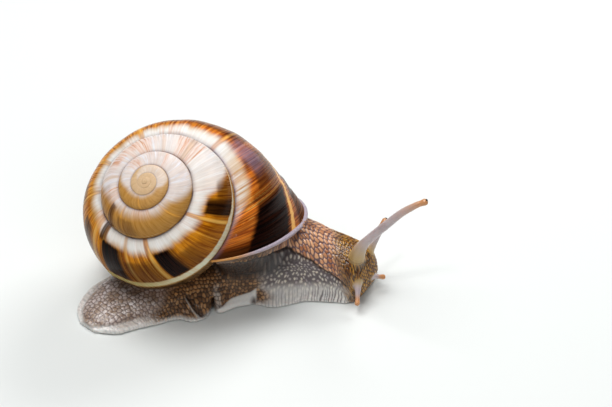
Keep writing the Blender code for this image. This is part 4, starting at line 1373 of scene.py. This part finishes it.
def eye_material():
    material, tree, inputs = new_material("dark wet eye", Coat_Weight=0.6, Coat_Roughness=0.05)
    depth, _, _ = parted(tree, "place")
    grains = placed(tree, GRAIN, 5000.0)
    dark = mixed(tree, grains, (16, 10, 10), (48, 32, 28))
    edge = times(tree, eased_value(tree, depth, 0.75, 0.0), 0.7)
    fed(tree, inputs["Base Color"], mixed(tree, edge, dark, (104, 70, 52)))
    fed(tree, inputs["Roughness"], scaled(tree, grains, 0.12, 0.08))
    return material


wet_eye = eye_material()
for name, feeler in (("eye_right", UPPER_RIGHT), ("eye_left", UPPER_LEFT)):
    eye = build_eye("bead_" + name, feeler)
    eye.data.materials.append(wet_eye)
    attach(eye, "root")
    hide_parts(name)

# ------------------------------------------------------------------------------------ setting
# A plain pale floor just under the sole, soft studio light from overhead, in front and behind, and
# the camera, which looks down at the snail's right side from some way off.

LOOK_AT = Vector(np.array((11.0, 0.0, 18.0)) + ORIGIN) * MM
CAMERA_ELEVATION = math.radians(36.0)
CAMERA_DISTANCE = 450.0
FRAME_WIDTH = 134.5
SENSOR_WIDTH = 36.0
CLIP = (0.01, 20.0)
FLOOR_HALF = 1500.0
FLOOR_DROP = 0.02
SKY = (0.82, 0.87, 0.92, 1.0)
SKY_STRENGTH = 0.16


def build_floor():
    line = (-FLOOR_HALF, FLOOR_HALF)
    points = [(x, y, -FLOOR_DROP) for x in line for y in line]
    floor = mesh_piece("floor", points, grid_quads(2, 2), {})
    material, _, _ = new_material("pale floor", Base_Color=srgb(214, 216, 214), Roughness=0.7)
    floor.data.materials.append(material)


def aimed(name, data, place):
    """An object for a light or the camera, turned towards the snail."""
    holder = bpy.data.objects.new(name, data)
    holder.location = place
    holder.rotation_mode = "QUATERNION"
    holder.rotation_quaternion = (LOOK_AT - place).to_track_quat("-Z", "Y")
    bpy.context.scene.collection.objects.link(holder)
    return holder


def softbox(name, place, size, power, mirrored=True):
    light = bpy.data.lights.new(name, "AREA")
    light.shape = "RECTANGLE"
    light.size, light.size_y = size[0] * MM, size[1] * MM
    light.energy = power
    aimed(name, light, Vector(place) * MM).visible_glossy = mirrored


def build_camera():
    camera = bpy.data.cameras.new("camera")
    camera.sensor_width = SENSOR_WIDTH
    camera.lens = SENSOR_WIDTH * CAMERA_DISTANCE / FRAME_WIDTH
    camera.clip_start, camera.clip_end = CLIP
    back = Vector((0.0, -math.cos(CAMERA_ELEVATION), math.sin(CAMERA_ELEVATION)))
    place = LOOK_AT + back * CAMERA_DISTANCE * MM
    bpy.context.scene.camera = aimed("camera", camera, place)


def build_world():
    world = bpy.data.worlds.new("studio")
    world.use_nodes = True
    backdrop = world.node_tree.nodes["Background"]
    backdrop.inputs[0].default_value = SKY
    backdrop.inputs[1].default_value = SKY_STRENGTH
    bpy.context.scene.world = world


build_floor()
build_camera()
build_world()
softbox("overhead softbox", (-140.0, 60.0, 520.0), (420.0, 360.0), 2.25)
softbox("small key", (-90.0, -210.0, 460.0), (60.0, 50.0), 0.28)
softbox("front fill", (180.0, -420.0, 260.0), (300.0, 300.0), 0.62, mirrored=False)
softbox("back strip", (220.0, 320.0, 300.0), (260.0, 160.0), 1.2, mirrored=False)
bpy.context.scene.view_settings.view_transform = "Standard"
bpy.context.scene.view_settings.look = "Medium High Contrast"
